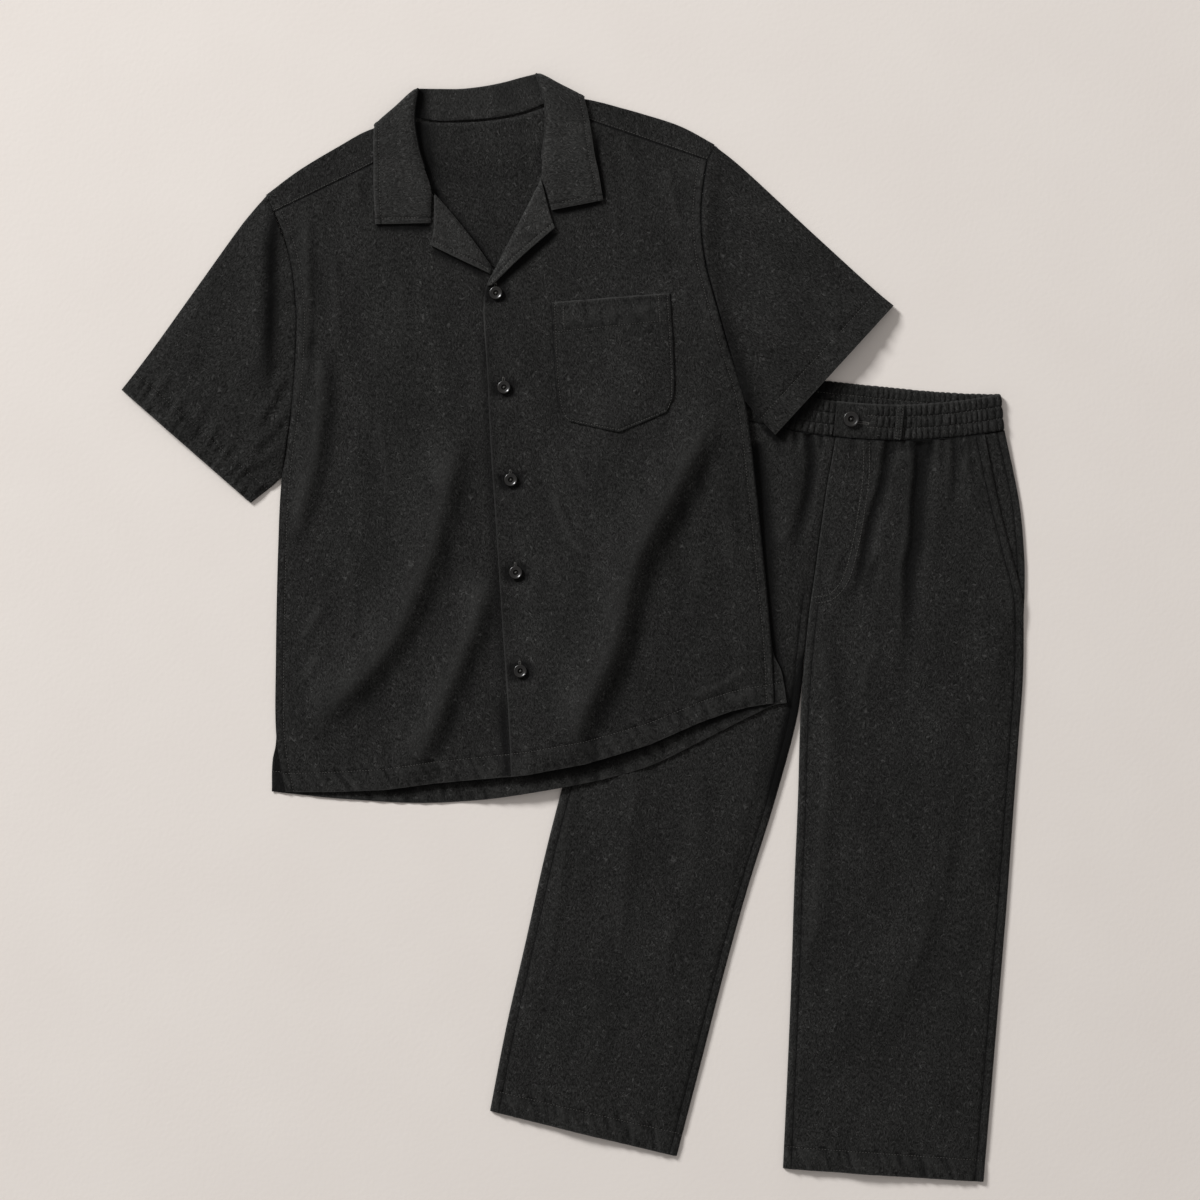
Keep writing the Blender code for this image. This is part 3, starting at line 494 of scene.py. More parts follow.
@dataclass(frozen=True)
class WashedLinen:
    """Linen cloth, yarn-dyed charcoal, plain woven and garment-washed.

    It gives the eye a matt, nearly black grey with paler flax fibres lying in it as short bent marks, and a
    soft bloom where it turns away. Its edges and crests are paler, partly from washing and partly as painted
    highlight, and it is painted nearly black as shade in creases, seams, hollow places and beside edges that
    lie over it.
    """

    name: str = "garment-washed linen, plain woven"
    ground: str = "#111110"
    fibre: str = "#444443"
    # the colour of painted shade
    deep: str = "#040404"
    # the paler colour of wear, also used as painted highlight
    worn: str = "#3a3a39"
    mark_width: float = 1.3  # a few of the 0.4 mm threads side by side
    slub: float = 7.6  # how far the curled slubs run
    thread: float = 1.0  # the real threads are 0.4 mm, drawn this coarse so that they show
    crumple: float = 13.0
    roughness: float = 0.88
    sheen: float = 0.03

    def material(self) -> Material:
        """Builds the material. It reads the cloth's own coordinates, so the weave turns with each piece."""
        made, tree, shader = new_material(self.name)
        cloth = add(tree, "ShaderNodeAttribute", attribute_name="cloth").outputs["Vector"]
        # What each point carries: its painted shade, and how pale wear and painted highlight make it
        crease = add(tree, "ShaderNodeAttribute", attribute_name="crease").outputs["Fac"]
        worn = add(tree, "ShaderNodeAttribute", attribute_name="worn").outputs["Fac"]

        # The flax fibres: where paler threads come to the top, and curled slubs, both along wandering threads
        stray = self.clouds(tree, cloth, (0.16, 0.1, 1), 1).outputs["Color"]
        off = add(tree, "ShaderNodeVectorMath", {0: stray, 1: (0.5, 0.5, 0.5)}, operation="SUBTRACT")
        bent = add(tree, "ShaderNodeVectorMath", {0: off.outputs[0], 1: (7, 9, 0)}, operation="MULTIPLY")
        moved = add(tree, "ShaderNodeVectorMath", {0: cloth, 1: bent.outputs[0]}, operation="ADD").outputs[0]
        flecks = self.clouds(tree, moved, (1 / self.mark_width, 0.4 / self.mark_width, 1), 2).outputs["Fac"]
        shown = {"Value": flecks, "From Min": 0.4, "From Max": 0.75, "To Max": 0.55}
        grain = add(tree, "ShaderNodeMapRange", shown).outputs[0]
        long = self.slubs(tree, moved, self.slub, 0.038)
        short = self.slubs(tree, moved, self.slub * 0.55, 0.05)
        slubs = add(tree, "ShaderNodeMath", {0: long, 1: short}, operation="MAXIMUM").outputs[0]
        fibres = add(tree, "ShaderNodeMath", {0: grain, 1: slubs}, operation="MAXIMUM").outputs[0]

        # The colour: the fibres on a clouded ground, paler with wear and painted highlight, and nearly black
        # with painted shade
        cloud = self.clouds(tree, cloth, (0.03, 0.012, 1), 2).outputs["Fac"]
        uneven = {"Value": cloud, "From Min": 0.3, "From Max": 0.7, "To Min": 0.82, "To Max": 1.18}
        shade = add(tree, "ShaderNodeMapRange", uneven).outputs[0]
        flax = {0: fibres, 6: srgb(self.ground), 7: srgb(self.fibre)}
        ground = add(tree, "ShaderNodeMix", flax, data_type="RGBA").outputs[2]
        clouded = add(tree, "ShaderNodeVectorMath", {0: ground, "Scale": shade}, operation="SCALE").outputs[0]
        paler = {0: worn, 6: clouded, 7: srgb(self.worn)}
        worn_and_lit = add(tree, "ShaderNodeMix", paler, data_type="RGBA").outputs[2]
        darker = {0: crease, 6: worn_and_lit, 7: srgb(self.deep)}

        # The surface: small crumples with the weave and the fibres on them
        crumples = self.clouds(tree, cloth, (1 / self.crumple, 0.7 / self.crumple, 1), 3).outputs["Fac"]
        soft = add(tree, "ShaderNodeBump", {"Strength": 0.8, "Distance": 0.0016, "Height": crumples})
        threads = {"Vector": cloth, "Scale": BAND / self.thread, "Distortion": 0.6, "Detail": 1.0}
        over = add(tree, "ShaderNodeTexWave", threads, bands_direction="X").outputs["Fac"]
        under = add(tree, "ShaderNodeTexWave", threads, bands_direction="Y").outputs["Fac"]
        weave = add(tree, "ShaderNodeMath", {0: over, 1: under}, operation="MULTIPLY").outputs[0]
        yarn = add(tree, "ShaderNodeMath", {0: fibres, 1: 1.4, 2: weave}, operation="MULTIPLY_ADD").outputs[0]
        relief = {"Strength": 0.6, "Distance": 0.0004, "Height": yarn, "Normal": soft.outputs[0]}
        surface = {
            "Base Color": add(tree, "ShaderNodeMix", darker, data_type="RGBA").outputs[2],
            "Normal": add(tree, "ShaderNodeBump", relief).outputs[0],
            "Roughness": self.roughness,
            "Specular IOR Level": 0.12,
            "Sheen Weight": self.sheen,
            "Sheen Roughness": 0.45,
        }
        feed(tree, shader, surface)
        return made

    def clouds(self, tree: Tree, where: Socket, per_mm: tuple, detail: float) -> Node:
        """A noise with this many clouds a millimetre along each axis.

        Args:
            tree: the node tree.
            where: the coordinates, in millimetres.
            per_mm: the clouds a millimetre along each axis.
            detail: how many finer noises lie on them.

        Returns:
            The noise's node.
        """
        place = add(tree, "ShaderNodeVectorMath", {0: where, 1: per_mm}, operation="MULTIPLY").outputs[0]
        noise = {"Vector": place, "Scale": 1.0, "Detail": detail, "Roughness": 0.55}
        return add(tree, "ShaderNodeTexNoise", noise)

    def slubs(self, tree: Tree, where: Socket, size: float, width: float) -> Socket:
        """Curled slubs: thin lines along the levels of a noise, broken up by a second one.

        Args:
            tree: the node tree.
            where: the coordinates.
            size: how far a slub runs.
            width: how much of the noise's range each line takes up.

        Returns:
            1 on a slub and 0 between them.
        """
        level = self.clouds(tree, where, (1 / size, 0.8 / size, 1), 1).outputs["Fac"]
        off = add(tree, "ShaderNodeMath", {0: level, 1: 0.11}, operation="PINGPONG").outputs[0]
        line = {"Value": off, "From Max": width * 0.5, "To Min": 1.0, "To Max": 0.0}
        thin = add(tree, "ShaderNodeMapRange", line).outputs[0]
        gaps = self.clouds(tree, where, (1.4 / size, 1.1 / size, 1), 1).outputs["Fac"]
        broken = add(tree, "ShaderNodeMapRange", {"Value": gaps, "From Min": 0.44, "From Max": 0.58})
        return add(tree, "ShaderNodeMath", {0: thin, 1: broken.outputs[0]}, operation="MULTIPLY").outputs[0]


@dataclass(frozen=True)
class SpunThread:
    """Polyester sewing thread, spun and dyed to match: a dull grey a shade paler than the cloth."""

    name: str = "spun polyester thread, dyed"
    colour: str = "#4b4a47"
    roughness: float = 0.7
    ply: float = 0.5  # the length of one turn of the plies

    def material(self) -> Material:
        """Builds the material, with a twist along the thread."""
        made, tree, shader = new_material(self.name)
        place = add(tree, "ShaderNodeTexCoord").outputs["Object"]
        plies = {"Vector": place, "Scale": BAND / (self.ply * MILLIMETRE), "Distortion": 0.5}
        twist = add(tree, "ShaderNodeTexWave", plies, bands_direction="DIAGONAL").outputs["Fac"]
        ridges = {"Strength": 0.4, "Distance": 0.0001, "Height": twist}
        surface = {
            "Normal": add(tree, "ShaderNodeBump", ridges).outputs[0],
            "Base Color": srgb(self.colour),
            "Roughness": self.roughness,
        }
        feed(tree, shader, surface)
        return made


@dataclass(frozen=True)
class MouldedResin:
    """Polyester resin button, cast, turned and tumbled: nearly black with a faint horn grain, and glossy."""

    name: str = "polyester resin, turned and polished"
    dark: str = "#0b0a09"
    light: str = "#1a1815"
    grain: float = 2.4
    roughness: float = 0.33
    coat: float = 0.2
    specular: float = 0.5

    def material(self) -> Material:
        """Builds the material, with clouds of a paler brown drawn out one way."""
        made, tree, shader = new_material(self.name)
        place = add(tree, "ShaderNodeTexCoord").outputs["Object"]
        grains = 1 / (self.grain * MILLIMETRE)
        drawn = {0: place, 1: (grains, grains * 0.3, grains)}
        where = add(tree, "ShaderNodeVectorMath", drawn, operation="MULTIPLY").outputs[0]
        horn = add(tree, "ShaderNodeTexNoise", {"Vector": where, "Scale": 1.0, "Detail": 3.0}).outputs["Fac"]
        ramp = add(tree, "ShaderNodeValToRGB", {"Fac": horn})
        for stop, position, code in zip(ramp.color_ramp.elements, (0.4, 0.75), (self.dark, self.light)):
            stop.position = position
            stop.color = srgb(code)
        surface = {
            "Base Color": ramp.outputs["Color"],
            "Roughness": self.roughness,
            "IOR": 1.55,
            "Specular IOR Level": self.specular,
            "Coat Weight": self.coat,
            "Coat Roughness": 0.2,
        }
        feed(tree, shader, surface)
        return made


@dataclass(frozen=True)
class PaintedBoard:
    """Board painted in warm chalky white: matt, with the faint unevenness of a brushed coat."""

    name: str = "painted board, chalky matt"
    pale: str = "#ebe5df"
    dark: str = "#e6dfd9"

    def material(self) -> Material:
        """Builds the material, with clouds about a hand wide."""
        made, tree, shader = new_material(self.name)
        place = add(tree, "ShaderNodeTexCoord").outputs["Object"]
        cloud = add(tree, "ShaderNodeTexNoise", {"Vector": place, "Scale": 9.0, "Detail": 6.0}).outputs["Fac"]
        tones = {0: cloud, 6: srgb(self.pale), 7: srgb(self.dark)}
        grit = add(tree, "ShaderNodeTexNoise", {"Vector": place, "Scale": 220.0, "Detail": 4.0})
        brushed = {"Strength": 0.12, "Distance": 0.001, "Height": grit.outputs["Fac"]}
        surface = {
            "Base Color": add(tree, "ShaderNodeMix", tones, data_type="RGBA").outputs[2],
            "Normal": add(tree, "ShaderNodeBump", brushed).outputs[0],
            "Roughness": 0.95,
            "Specular IOR Level": 0.1,
        }
        feed(tree, shader, surface)
        return made


@dataclass(frozen=True)
class Finishes:
    """The set's materials, each made once."""

    linen: Material
    collar_linen: Material
    thread: Material
    resin: Material
    dull_resin: Material

    @classmethod
    def make(cls) -> "Finishes":
        """Builds all of them.

        The collar is fused and pressed, which leaves it smoother, and it is given a paler colour. A button's
        cup and its outer edge get a matt copy of the resin that stays black where its face shines: painted
        shade in the cup, and a painted shadow round its foot.

        Returns:
            the materials.
        """
        pressed = WashedLinen(
            name="garment-washed linen, fused and pressed", ground="#1c1c1b", fibre="#4d4d4c", crumple=17.0
        )
        shade_copy = MouldedResin(
            name="polyester resin, turned and left dull", roughness=0.8, coat=0.0, specular=0.12
        )
        return cls(
            WashedLinen().material(),
            pressed.material(),
            SpunThread().material(),
            MouldedResin().material(),
            shade_copy.material(),
        )


def finish_piece(obj: Object, slot: str, *nodes: str) -> Object:
    """Attaches a new piece to the body, and hides the solids that it stands for.

    Args:
        obj: the piece.
        slot: not used.
        nodes: the solids that it stands for.

    Returns:
        The same piece.
    """
    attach(obj, BODY)
    if nodes:
        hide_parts(*nodes)
    return obj


def link_mesh(name: str, points: Points, faces: list, material: Material) -> Object:
    """Makes an object from points in millimetres, shaded smooth.

    Args:
        name: its name.
        points: its points.
        faces: the points of each face.
        material: its finish.

    Returns:
        The object, linked to the scene.
    """
    mesh = bpy.data.meshes.new(name)
    mesh.from_pydata((np.asarray(points) * MILLIMETRE).tolist(), [], faces)
    mesh.shade_smooth()
    mesh.materials.append(material)
    obj = bpy.data.objects.new(name, mesh)
    bpy.context.scene.collection.objects.link(obj)
    return obj


@dataclass
class Weld:
    """Gathers grids of points into one mesh, joined wherever their points meet."""

    points: list = field(default_factory=list)
    notes: list = field(default_factory=list)
    faces: list = field(default_factory=list)
    count: int = 0

    def add(self, points: Points, cloth: Points, crease: Points, worn: Points, loop: bool = False) -> None:
        """Adds a grid.

        Args:
            points: rows of points in the shared frame.
            cloth: the same points in the cloth's own coordinates.
            crease: how dark each is with painted shade.
            worn: how pale each is, from wear and painted highlight.
            loop: whether each row closes on itself.
        """
        rows, columns = points.shape[:2]
        index = np.arange(rows * columns).reshape(rows, columns) + self.count
        right = np.roll(index, -1, axis=1)
        last = columns if loop else columns - 1
        quads = np.stack([index[:-1], index[1:], right[1:], right[:-1]], -1)[:, :last]
        self.faces.append(quads.reshape(-1, 4))
        self.points.append(points.reshape(-1, 3))
        flat = [cloth.reshape(-1, 2), crease.reshape(-1, 1), worn.reshape(-1, 1)]
        self.notes.append(np.concatenate(flat, axis=1))
        self.count += rows * columns

    def joined(self, name: str, material: Material) -> tuple[Object, Points]:
        """Makes the mesh, with points that meet joined.

        Args:
            name: the piece's name.
            material: its finish.

        Returns:
            The piece, and the notes on each of its points.
        """
        points = np.concatenate(self.points)
        keys = np.round(points * WELDS_PER_MM).astype(np.int64)
        _, first, index = np.unique(keys, axis=0, return_index=True, return_inverse=True)
        faces = index.reshape(-1)[np.concatenate(self.faces)].tolist()
        corners = [list(dict.fromkeys(face)) for face in faces]
        obj = link_mesh(name, points[first], [face for face in corners if len(face) > 2], material)
        return obj, np.concatenate(self.notes)[first]

    def build(self, name: str, material: Material, thickness: float) -> Object:
        """Makes the piece, with a wall of this thickness.

        Args:
            name: its name.
            material: its finish.
            thickness: its wall.

        Returns:
            The piece.
        """
        obj, notes = self.joined(name, material)
        cloth = obj.data.attributes.new("cloth", "FLOAT_VECTOR", "POINT")
        cloth.data.foreach_set("vector", np.pad(notes[:, :2], ((0, 0), (0, 1))).ravel())
        for k, attribute in enumerate(("crease", "worn"), 2):
            obj.data.attributes.new(attribute, "FLOAT", "POINT").data.foreach_set("value", notes[:, k].copy())
        wall = obj.modifiers.new("cloth wall", "SOLIDIFY")
        wall.thickness = thickness * MILLIMETRE
        wall.offset = 0
        return obj


@dataclass
class Panel:
    """A cut piece of cloth, ruled between two long edges, with what is done along each of its four edges."""

    place: Place
    left: Points
    right: Points
    borders: dict[Edge, Border]
    height: Rule
    step: Pair = (3.2, 3.6)
    bend: Callable[[Points, Points], Points] | None = None
    seed: int = 1
    own: Points = field(init=False)
    points: Points = field(init=False)
    crease: Points = field(init=False)
    worn: Points = field(init=False)

    def __post_init__(self) -> None:
        """Works out the grid, its heights, its painted shade, and its paler edges and crests."""
        left, right = through(self.left, 12), through(self.right, 12)
        run = (run_of(left) + run_of(right)) / 2
        marks = {edge: border.marks() for edge, border in self.borders.items()}
        down = spread(run[-1:], self.step[1], marks[Edge.TOP], marks[Edge.BOTTOM])[0]
        left, right = sample(left, down, run), sample(right, down, run)
        length = np.linalg.norm(right - left, axis=1)
        across = spread(length, self.step[0], marks[Edge.LEFT], marks[Edge.RIGHT])
        share = (across / length[:, None])[..., None]
        self.own = left[:, None] * (1 - share) + right[:, None] * share
        if self.bend:
            self.own = self.bend(self.own, down)
        down = np.broadcast_to(down[:, None], across.shape)
        distances = {
            Edge.LEFT: across,
            Edge.RIGHT: length[:, None] - across,
            Edge.TOP: down,
            Edge.BOTTOM: run[-1] - down,
        }
        z = self.height(self.own)
        self.crease, self.worn = np.zeros(z.shape), np.zeros(z.shape)
        for number, (edge, border) in enumerate(self.borders.items()):
            along = across if edge in (Edge.TOP, Edge.BOTTOM) else down
            rise, crease, worn = border.relief(distances[edge], along, self.seed * 10 + number)
            z = z + rise
            self.crease, self.worn = np.maximum(self.crease, crease), np.maximum(self.worn, worn)
        # Painted shade in each small dip of the surface, and painted highlight on each crest
        hollow = smoothed(z) - z
        self.crease = np.maximum(self.crease, 0.62 * ease(hollow / 0.55))
        self.worn = np.maximum(self.worn, 0.3 * ease(-hollow / 0.45))
        self.points = self.place.at(self.own, z)

    def darken(self, hollows: Sequence[Fold], most: float = 0.95) -> None:
        """Paints shade on the panel where it lies in shadow."""
        self.crease = np.maximum(self.crease, np.clip(lift(self.own, hollows), 0, most))

    def row(self, edge: Edge, distance: float) -> Points:
        """The points that lie this far in from an edge, where its border has a line.

        Args:
            edge: the edge.
            distance: how far in.

        Returns:
            The row of the grid there.
        """
        at = int(np.argmin(np.abs(np.array(self.borders[edge].marks()) - distance)))
        if edge is Edge.LEFT:
            return self.points[:, at]
        if edge is Edge.RIGHT:
            return self.points[:, -1 - at]
        return self.points[at if edge is Edge.TOP else -1 - at]

    def runs(self) -> list[Points]:
        """Every line of stitches along the panel's edges."""
        return [self.row(edge, line) for edge, border in self.borders.items() for line in border.sewn]

    def into(self, weld: Weld) -> None:
        """Adds the panel to a piece."""
        weld.add(self.points, self.own, self.crease, self.worn)


@dataclass
class Stitching:
    """Lockstitches: short threads that bow up out of the cloth and dip back into it, joined as one mesh."""

    pitch: float = 3.1
    length: float = 2.3
    radius: float = 0.26  # the real thread is half this, and wouldn't show
    sides: int = 5
    rise: float = 0.32
    stations: tuple[float, ...] = (0.0, 0.18, 0.5, 0.82, 1.0)
    starts: list = field(default_factory=list)
    ends: list = field(default_factory=list)

    def sew(self, line: Points, above: float = SHELL / 2, pitch: float | None = None) -> None:
        """Sews along a line.

        Args:
            line: points in the shared frame, on the cloth's middle surface.
            above: how far the cloth's face lies above those points.
            pitch: the distance from stitch to stitch, where it isn't the usual one.
        """
        pitch = pitch or self.pitch
        line = np.asarray(line, float) + (0, 0, above)
        total = run_of(line)[-1]
        count = max(1, int(total / pitch))
        at = (np.arange(count) + 0.5) * total / count
        half = self.length / self.pitch * pitch / 2
        self.starts.append(sample(line, at - half))
        self.ends.append(sample(line, at + half))

    def buttonhole(self, surface: Rule, middle: Pair, way: Pair, length: float) -> None:
        """Sews a buttonhole: close stitches across both lips of its slit, and a bar at each end.

        Args:
            surface: gives points of the cloth's face from points of the garment's own frame.
            middle: its middle in that frame.
            way: the direction of its slit.
            length: how long it is.
        """
        way, middle = np.array(way, float), np.array(middle, float)
        aside = np.array([-way[1], way[0]])
        along = np.arange(-length / 2, length / 2 + 0.01, 0.62)[:, None] * way + middle
        for sign in (1, -1):
            self.starts.append(surface(along + aside * 0.3 * sign))
            self.ends.append(surface(along + aside * 1.5 * sign))
        for sign in (1, -1):
            bar = middle + way * (length / 2 + 0.5) * sign + np.array([[-0.35], [0.0], [0.35]]) * way
            self.starts.append(surface(bar - aside * 1.5))
            self.ends.append(surface(bar + aside * 1.5))

    def build(self, name: str, material: Material) -> Object:
        """Makes all the stitches as one piece.

        Args:
            name: its name.
            material: the thread's finish.

        Returns:
            The piece.
        """
        start, end = np.concatenate(self.starts), np.concatenate(self.ends)
        along = end - start
        along /= np.linalg.norm(along, axis=1)[:, None]
        aside = np.cross(along, (0, 0, 1))
        aside /= np.linalg.norm(aside, axis=1)[:, None]
        up = np.cross(aside, along)
        rings = []
        for t in self.stations:
            swell = 0.35 + 0.65 * math.sin(math.pi * t) ** 0.5
            middle = start * (1 - t) + end * t + up * (self.rise * math.sin(math.pi * t) - 0.16)
            for k in range(self.sides):
                angle = math.tau * k / self.sides
                reach = aside * math.cos(angle) + up * math.sin(angle)
                rings.append(middle + reach * self.radius * swell)
        points = np.stack(rings, 1)
        count, each = points.shape[:2]
        faces = []
        for ring in range(len(self.stations) - 1):
            for k in range(self.sides):
                m = (k + 1) % self.sides
                low, high = ring * self.sides, (ring + 1) * self.sides
                faces.append([low + k, low + m, high + m, high + k])
        shift = (np.arange(count) * each)[:, None, None]
        walls = (np.array(faces)[None] + shift).reshape(-1, 4).tolist()
        first = list(range(self.sides))[::-1]
        last = [each - self.sides + k for k in range(self.sides)]
        caps = (np.array([first, last])[None] + shift).reshape(-1, self.sides).tolist()
        return link_mesh(name, points.reshape(-1, 3), walls + caps, material)


class Held(Enum):
    """What keeps a cut of cloth in its shape."""

    LAID = "laid"
    FOLDED = "folded"
    GATHERED = "gathered"


@dataclass(frozen=True)
class Cut:
    """A piece of cloth as the record knows it."""

    node: str  # the solid that it stands for
    flat: Pair  # the width and length of its cut in metres
    area: float  # its flat area in square metres
    held: Held = Held.LAID

    def build(self, weld: Weld, material: Material, thickness: float = SHELL) -> None:
        """Builds the gathered grids as this cut, and hides its solid.

        Args:
            weld: the grids.
            material: its finish.
            thickness: the wall of its cloth.
        """
        obj = weld.build(f"{self.node}_cloth", material, thickness)
        finish_piece(obj, LINEN_SLOT, self.node)
        log.info("%s: %d points", self.node, len(obj.data.vertices))

    def make(
        self,
        panel: Panel,
        threads: Stitching,
        material: Material,
        thickness: float = SHELL,
        pitch: float | None = None,
    ) -> None:
        """Builds a panel as this cut, with stitches along every line of its borders.

        Args:
            panel: the panel.
            threads: the stitching that its stitches belong to.
            material: its finish.
            thickness: the wall of its cloth.
            pitch: the distance from stitch to stitch, where it isn't the usual one.
        """
        weld = Weld()
        panel.into(weld)
        for line in panel.runs():
            threads.sew(line, thickness / 2, pitch)
        self.build(weld, material, thickness)


@dataclass
class ShirtForm:
    """How the shirt lies: its layers, the air in it, its folds, and what lifts it."""

    air: float = 3.5
    air_top: float = -40
    air_ramp: float = 130
    half_width: float = 252
    lean: float = 0.026
    lap_foot: float = 190
    lap_ramp: float = 120
    leg_top: float = 6.6
    waist_top: float = 8.6
    waist_fade: Pair = (-130, -50)
    reach: float = 30
    ramp: float = 80
    reach_per_layer: float = 8
    band_top: float = 57.7
    neck_rise: float = 2.3
    neck_half_width: float = 112
    neck_foot: float = -22
    neck_ramp: float = 47
    drape: Drape = Drape(11)
    folds: tuple[Fold, ...] = (
        Fold(
            (
                (-50, -317), (-75, -357), (-103, -439), (-139, -510),
                (-164, -545), (-194, -574), (-229, -602), (-259, -636),
            ),
            9.5, 30, 16,
        ),
        Fold(
            ((-46, -467), (-66, -523), (-84, -559), (-119, -624), (-154, -684), (-164, -704)),
            8.5, 24, 14, (0.2, 0.3),
        ),
        Fold(
            ((-202, -216), (-204, -258), (-210, -300), (-220, -342), (-231, -373), (-256, -434)),
            6.0, 20, 11,
        ),
        Fold(
            (
                (208, -315), (198, -343), (154, -413), (106, -483),
                (76, -565), (41, -625), (13, -681), (3, -702),
            ),
            12.5, 34, 17, (0.2, 0.2),
        ),
        Fold(((-198, -58), (-204, -130), (-212, -190), (-222, -250), (-238, -310)), 2.8, 9, 7),
        Fold(
            ((231, -66), (226, -110), (219, -150), (218, -190), (225, -240), (234, -290), (243, -335)),
            4.0, 20, 9, (0.06, 0.2),
        ),
    )
    creases: tuple[Fold, ...] = (
        Fold(((186, -66), (188, -108), (193, -150)), 1.5, 8, 5),
        Fold(((-134, -18), (-142, -52), (-145, -82)), 1.3, 8, 5),
        Fold(((-146, -300), (-144, -350), (-144, -400)), 0.9, 9, 5),
        Fold(((50, -347), (56, -373), (66, -408)), 0.8, 6, 4),
        Fold(((30, -396), (40, -444), (62, -480)), 0.9, 7, 4),
        Fold(((178, -482), (172, -511), (156, -556)), 0.9, 9, 6),
        Fold(((-224, -496), (-241, -516), (-258, -537)), 1.3, 6, 4),
        Fold(((-232, -546), (-250, -565), (-270, -587)), 1.3, 6, 4),
        Fold(((156, -631), (187, -622), (214, -608)), 1.1, 5, 4),
        Fold(((197, -643), (220, -632)), 0.9, 5, 4),
        Fold(((-106, -150), (-110, -210), (-122, -262)), 0.8, 10, 7),
        Fold(((-176, -120), (-178, -180), (-184, -240)), 1.0, 9, 6),
        Fold(((120, -40), (126, -90), (124, -150)), 0.8, 9, 6),
        Fold(((150, -46), (152, -110), (150, -170)), 0.7, 8, 6),
        Fold(((-190, -430), (-196, -500), (-214, -560)), 1.2, 12, 8),
        Fold(((206, -380), (210, -450), (206, -520)), 1.0, 12, 8),
        Fold(((120, -560), (100, -620), (88, -670)), 0.9, 12, 8),
    )
    leg_xs: Points = field(init=False)
    leg_ys: Points = field(init=False)

    def __post_init__(self) -> None:
        """Keeps the line of the trousers' hidden outer edge."""
        outer = np.array([row[2] for row in RIGHT_LEG])[::-1]
        self.leg_xs, self.leg_ys = outer[:, 0], outer[:, 1]

    def over_trousers(self, points: Points, layer: float) -> Points:
        """How far the trousers lift a layer of the shirt, at points of the shared frame.

        Args:
            points: the points.
            layer: 0 for the back and 1 for the front.

        Returns:
            The lift at each point.
        """
        own = TROUSERS.back(points)
        x, y = own[..., 0], own[..., 1]
        reach = self.reach + self.reach_per_layer * layer
        edge = np.interp(y, self.leg_ys, self.leg_xs)
        beside = ease((x - edge + reach + self.ramp) / self.ramp)
        above = ease((self.band_top - y + reach + self.ramp) / self.ramp)
        high, low = self.waist_fade
        top = self.leg_top + (self.waist_top - self.leg_top) * ease((y - high) / (low - high))
        return top * beside * above

    def under_collar(self, own: Points) -> Points:
        """How far the part of the collar that lies under the shirt lifts it.

        Args:
            own: points of the garment's own frame.

        Returns:
            The lift at each point.
        """
        beside = ease((self.neck_half_width - np.abs(own[..., 0])) / self.neck_ramp + 1)
        below = ease((own[..., 1] - self.neck_foot) / self.neck_ramp + 1)
        return self.neck_rise * beside * below

    def height(self, own: Points, layer: int) -> Points:
        """The height of a layer of the body: 0 is the back and 1 the front.

        Args:
            own: points of the garment's own frame.
            layer: which layer.

        Returns:
            The heights.
        """
        lifted = self.over_trousers(SHIRT.out(own), layer) + self.under_collar(own)
        z = CLOTH / 2 + LAYER * layer + lifted
        if not layer:
            return z
        x, y = own[..., 0], own[..., 1]
        across = np.clip(np.abs(x - self.lean * y) / self.half_width, 0, 1)
        puff = self.air * (1 - across**3) * ease((self.air_top - y) / self.air_ramp)
        inside = ease((self.half_width - np.abs(x - self.lean * y)) / 34 + 0.15)
        return z + puff + lift(own, self.folds) * inside

    def waves(self, own: Points) -> Points:
        """The waves and creases of a front. They die away at the neck, the sides and the buttons.

        Args:
            own: points of the garment's own frame.

        Returns:
            How far they lift each point.
        """
        calm = ease((self.air_top - own[..., 1]) / 90) * 0.8 + 0.2
        beside = ease((self.half_width - np.abs(own[..., 0] - self.lean * own[..., 1])) / 30) * 0.7 + 0.3
        flat = np.ones(own.shape[:-1])
        for button in SHIRT_BUTTONS:
            off = np.linalg.norm(own - np.array(button, float), axis=-1)
            flat = flat * ease((off - 7) / 16)
        return (self.drape.at(own) * calm + lift(own, self.creases)) * beside * flat

    def front(self, own: Points) -> Points:
        """The right front's height."""
        return self.height(own, 1) + self.waves(own)

    def lap(self, own: Points) -> Points:
        """The left front's height: one layer higher along the lap, coming down towards its side."""
        return self.front(own) + LAYER * ease((self.lap_foot - own[..., 0]) / self.lap_ramp)


SHIRT_BUTTONS = ((-8, -187), (-10, -287), (-13, -385), (-18, -483), (-24, -587))

# One row for each section of a leg: its inner seam, where its front ends, and its outer edge
LEFT_LEG = (
    ((-3, 0), (153, 20), (174, 26)),
    ((-6, -49), (173, -44), (197, -46)),
    ((-8, -103), (194, -102), (209, -105)),
    ((-9.5, -150), (210, -145), (214, -150)),
    ((-11, -190), (216, -180), (216, -180)),
    ((-11, -232), (221, -236), (221, -236)),
    ((-8.5, -300), (223, -300), (223, -300)),
    ((-2, -387), (226, -390), (226, -390)),
    ((4, -482), (229, -482), (229, -482)),
    ((11, -578), (231, -575), (231, -575)),
    ((17, -673), (233, -668), (233, -668)),
    ((23, -776), (235, -768), (235, -768)),
)
RIGHT_LEG = (
    ((-3.7, 0), (-174, 26), (-174, 26)),
    ((-6.7, -49), (-197, -46), (-197, -46)),
    ((-8.7, -103), (-209, -105), (-209, -105)),
    ((-10.2, -150), (-215, -150), (-215, -150)),
    ((-11.8, -190), (-219, -184), (-219, -184)),
    ((-12, -232), (-225, -226), (-225, -226)),
    ((-12.6, -298), (-235, -288), (-235, -288)),
    ((-27, -390), (-248, -375), (-248, -375)),
    ((-46, -485), (-262, -470), (-262, -470)),
    ((-62, -580), (-273, -565), (-273, -565)),
    ((-76, -675), (-284, -657), (-284, -657)),
    ((-91, -775), (-292, -748), (-292, -748)),
)


